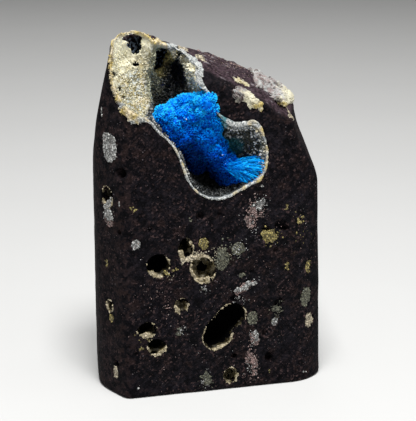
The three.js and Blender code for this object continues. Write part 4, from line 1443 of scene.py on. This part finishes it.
# Ragged smears on the stone: mineral, side, place, half width, half height, tilt, cover.
SMEARS = (
    ("white", "front", 5.4, 31.9, 1.4, 1.1, -20, -0.45),
    ("pink", "front", 4.6, 30.8, 1.3, 1.5, -30, -0.5), ("pink", "front", 3.5, 28.9, 0.7, 1.5, -35, -0.4),
    ("cream", "front", -5.4, 23.9, 0.45, 2.1, 70, 0),
    ("celadon", "front", -1.1, 23.7, 1.3, 1.7, 25, -0.4), ("white", "front", 3.2, 18, 0.4, 2, 68, -0.1),
    ("white", "left", -9, 42, 1.7, 2.4, 0, 0), ("white", "left", -8.6, 31.6, 1.2, 1.9, 0, 0),
    ("white", "front", 4.8, 8.6, 0.9, 1.3, 0, -0.4), ("pink", "front", 4.5, 4, 0.9, 1.7, 0, -0.45),
    ("celadon", "front", -3.6, 2.4, 0.9, 1.5, 0, -0.4), ("gold", "front", 7.3, 26.5, 1.2, 1.1, 20, -0.1),
    ("gold", "front", -10, 21.1, 0.9, 0.4, 35, 0), ("pink", "front", -9.9, 15.4, 0.9, 0.45, 0, -0.35),
    ("pink", "top", 6, 3.8, 0.8, 1.6, 0, 0), ("pink", "top", 4.1, 6.4, 0.6, 1, 0, 0),
    ("pink", "top", -1.2, 0.8, 0.5, 0.8, 0, 0), ("cream", "top", -2.8, -4.3, 0.6, 1, 0, 0),
    ("cream", "top", -4.6, -1, 0.9, 1.4, 0, -0.15), ("cream", "top", 11.1, -10.4, 0.4, 2.3, 0, 0.1),
    ("cream", "back", 1, 22, 2.5, 3.5, 20, -0.6), ("pink", "back", -7, 32, 2.2, 2.6, 0, -0.6),
)
# Loose grains left on the stone: mineral, side, place, half width, half height, tilt, how many, size.
SCATTERS = (
    ("white", "front", 5.4, 31.8, 1.5, 1.3, -20, 90, 0.12),
    ("pink", "front", 4.4, 30.6, 1.7, 2.4, -30, 110, 0.13),
    ("white", "front", 3.6, 29.2, 1, 2, -35, 40, 0.1), ("pink", "front", 4.4, 5, 1.4, 3.8, 0, 80, 0.12),
    ("white", "front", 4.8, 8.6, 1, 1.5, 0, 50, 0.12),
    ("white", "front", 4.4, 3.6, 1.1, 1.6, 0, 45, 0.11),
    ("celadon", "front", -3.6, 2.4, 1.2, 1.6, 0, 40, 0.12),
    ("white", "front", -3.8, 1.8, 1, 0.8, 0, 25, 0.1),
    ("celadon", "front", -1, 23.8, 1.9, 1.9, 0, 110, 0.13),
    ("cream", "front", -1.2, 24, 1.8, 1.6, 0, 50, 0.1),
    ("white", "front", 1.9, 24.6, 1.4, 1.4, 0, 50, 0.09),
    ("white", "front", -3.3, 22.5, 0.2, 0.25, 0, 4, 0.22),
    ("white", "front", 3.4, 18.1, 0.5, 2.2, 68, 50, 0.11),
    ("gold", "front", 7.4, 26.4, 1.6, 1.4, 20, 60, 0.14),
    ("cream", "front", -10.4, 21.3, 1.4, 0.7, 35, 30, 0.12),
    ("cream", "front", -5.4, 23.9, 0.7, 2.4, 70, 40, 0.13),
    ("white", "front", -3.9, 18, 0.8, 0.7, 0, 25, 0.1),
    ("white", "front", -7.7, 11.3, 0.8, 0.8, 0, 25, 0.1),
    ("white", "front", 2.3, 15.9, 1.6, 0.8, 0, 25, 0.09),
    ("celadon", "front", 8.6, 13.2, 1.4, 1.4, 20, 40, 0.11),
    ("white", "left", -8.6, 31, 1.5, 1.8, 0, 40, 0.13), ("white", "left", -9, 42, 1.7, 2.4, 0, 40, 0.13),
    ("gold", "front", -13, 9.7, 2.2, 2, 0, 20, 0.12), ("gold", "right", 15, 26, 2.6, 3, 0, 14, 0.12),
    ("pink", "front", -12, 16, 5, 9, 0, 90, 0.08), ("white", "front", -2, 14, 13, 14, 0, 60, 0.06),
    ("pink", "front", 0, 20, 15, 18, 0, 200, 0.07), ("cream", "back", 0, 26, 14, 20, 0, 160, 0.12),
    ("pink", "top", 2, 0, 8, 9, 0, 260, 0.11), ("cream", "top", 3, 2, 8, 8, 0, 40, 0.1),
)


class SPECIMEN_OT_specks(bpy.types.Operator):
    """Build the small mineral seats and the loose grains on the stone"""
    bl_idname = "specimen.specks"
    bl_label = "Specks and grains"

    def execute(self, context):
        rng = np.random.default_rng(SEEDS["specks"])
        finishes = plug_finishes(context.scene.specimen_zeolite)
        parts = {mineral: [] for mineral in SLOTS}
        open_shapes = [open_hole(name) for name in OPEN_HOLES]
        for number, (side, across, z, wide, high, tilt, mineral) in enumerate(SPOTS):
            hole = Hole(side, across, z, wide, high, SPOT_DEPTH, tilt, seed=SPOT_SEED + number)
            parts[mineral].append(plug_surface(hole, SPOT_RISE))
        for number, (mineral, side, across, z, wide, high, tilt, cover) in enumerate(SMEARS):
            hole = Hole(side, across, z, wide, high, max(wide, high), tilt, seed=SMEAR_SEED + number)
            parts[mineral].append(smear_surface(hole, cover, FILM_SEED + number))
        for mineral, side, across, z, wide, high, tilt, count, size in SCATTERS:
            hole = Hole(side, across, z, wide, high, 0.001, tilt)
            local = rng.normal(scale=0.5, size=(count, 3)) * hole.radii
            spots, out = settle(np.array(hole.at) + local @ hole.turn.T)
            free = (bare_block(*spots.T) > -0.6) & (pocket(*spots.T) > 0.5)
            for shape in open_shapes:
                free &= shape.field(*spots.T) > 0.5
            out = unit(out + rng.normal(scale=0.35, size=out.shape))
            sizes = size * rng.uniform(0.5, 1.6, count)
            parts[mineral].append(pebbles(spots[free], out[free], sizes[free], rng))
        for mineral, made in parts.items():
            if made:
                points, tris = join(made)
                zero = np.zeros(len(points))
                place_piece(f"{mineral}_specks", points, tris, finishes[mineral], SLOTS[mineral],
                            smooth=False, edge=zero, deep=zero)
        return {"FINISHED"}


# The stage is in metres.
MIDDLE = Vector((0.0007, 0.0, 0.028))  # what the lights and the camera look at
LIGHTS = (  # name, place, size, which setting gives its power, and how much of that
    ("key_light", (-0.03, -0.17, 0.52), 0.2, "key", 1), ("fill_light", (0.5, -0.3, 0.25), 0.4, "fill", 1),
    ("back_light", (0.1, 0.45, 0.4), 0.35, "fill", 0.6),
)
CAMERA_TURN, CAMERA_LIFT, CAMERA_FAR, LENS = -15, 15, 0.23, 114.35  # degrees, metres and millimetres
FLOOR_RINGS, FLOOR_STEPS = (60, 200, 800, 3000), 64  # radii in millimetres


def floor_surface():
    """A round floor in rings: points and triangles."""
    turn = np.linspace(0, 2 * math.pi, FLOOR_STEPS + 1)[:-1]
    rings = [np.stack([r * np.cos(turn), r * np.sin(turn), 0 * turn], 1) for r in FLOOR_RINGS]
    here = np.arange(FLOOR_STEPS)
    ring = np.stack([here, (here + 1) % FLOOR_STEPS], 1) + 1
    tris = [np.insert(ring, 0, 0, axis=1)]
    for n in range(len(FLOOR_RINGS) - 1):
        a, b = ring + FLOOR_STEPS * n, ring + FLOOR_STEPS * (n + 1)
        tris += [np.stack([a[:, 0], b[:, 0], b[:, 1]], 1), np.stack([a[:, 0], b[:, 1], a[:, 1]], 1)]
    return np.concatenate([[(0, 0, 0)], *rings]), np.concatenate(tris)


class SPECIMEN_OT_stage(bpy.types.Operator):
    """Lay the floor and set the lights and the camera"""
    bl_idname = "specimen.stage"
    bl_label = "Floor, lights and camera"

    def execute(self, context):
        scene, look = context.scene, context.scene.specimen_stage
        mesh = to_mesh("floor", *floor_surface())
        f = Finish("floor_paper", 0.7, 0.2)
        paper = f.mix(f.noise(40, 2), tinted(look.floor, 0.97), look.floor)
        mesh.materials.append(f.finish(paper))
        floor = bpy.data.objects.new("floor", mesh)
        scene.collection.objects.link(floor)

        for name, place, size, power, share in LIGHTS:
            lamp = bpy.data.lights.new(name, "AREA")
            lamp.size, lamp.energy = size, getattr(look, power) * share
            light = bpy.data.objects.new(name, lamp)
            light.location = place
            light.rotation_euler = (MIDDLE - Vector(place)).to_track_quat("-Z", "Y").to_euler()
            scene.collection.objects.link(light)

        world = bpy.data.worlds.new("studio")
        world.use_nodes = True
        sky = world.node_tree.nodes["Background"].inputs
        sky["Color"].default_value = (1, 1, 1, 1)
        sky["Strength"].default_value = look.sky
        scene.world = world

        lens = bpy.data.cameras.new("camera")
        lens.sensor_fit, lens.sensor_height, lens.lens = "VERTICAL", 36, LENS
        lens.clip_start, lens.clip_end = 0.01, 20
        camera = bpy.data.objects.new("camera", lens)
        turn, lift = math.radians(CAMERA_TURN), math.radians(CAMERA_LIFT)
        ahead = Vector((-math.sin(turn) * math.cos(lift), math.cos(turn) * math.cos(lift), -math.sin(lift)))
        camera.location = MIDDLE - CAMERA_FAR * ahead
        camera.rotation_euler = ahead.to_track_quat("-Z", "Y").to_euler()
        scene.collection.objects.link(camera)
        scene.camera = camera
        scene.view_settings.view_transform = "Standard"
        return {"FINISHED"}


class SPECIMEN_PT_panel(bpy.types.Panel):
    """The specimen's pieces and settings"""
    bl_label = "Specimen"
    bl_idname = "SPECIMEN_PT_panel"
    bl_space_type = "VIEW_3D"
    bl_region_type = "UI"
    bl_category = "Specimen"

    def draw(self, context):
        for look, operators in PANEL_ROWS:
            box = self.layout.box()
            settings = getattr(context.scene, look)
            for key in settings.__annotations__:
                box.prop(settings, key)
            for operator in operators:
                box.operator(operator.bl_idname)


PANEL_ROWS = (
    ("specimen_basalt", (SPECIMEN_OT_basalt,)),
    ("specimen_zeolite", (SPECIMEN_OT_pocket, SPECIMEN_OT_crusts, SPECIMEN_OT_linings, SPECIMEN_OT_plugs,
                          SPECIMEN_OT_specks)),
    ("specimen_cavansite", (SPECIMEN_OT_cavansite,)),
    ("specimen_stage", (SPECIMEN_OT_stage,)),
)
LOOKS = {"specimen_basalt": BasaltLook, "specimen_zeolite": ZeoliteLook, "specimen_cavansite": CavansiteLook,
         "specimen_stage": StageLook}
CLASSES = (*LOOKS.values(), *(o for _, row in PANEL_ROWS for o in row), SPECIMEN_PT_panel)


def register():
    for cls in CLASSES:
        bpy.utils.register_class(cls)
    for name, cls in LOOKS.items():
        setattr(bpy.types.Scene, name, PointerProperty(type=cls))


def unregister():
    for name in LOOKS:
        delattr(bpy.types.Scene, name)
    for cls in reversed(CLASSES):
        bpy.utils.unregister_class(cls)


def main():
    register()
    bpy.ops.specimen.basalt()
    bpy.ops.specimen.pocket()
    bpy.ops.specimen.cavansite()
    bpy.ops.specimen.crusts()
    bpy.ops.specimen.linings()
    bpy.ops.specimen.plugs()
    bpy.ops.specimen.specks()
    bpy.ops.specimen.stage()


if __name__ == "__main__":
    main()
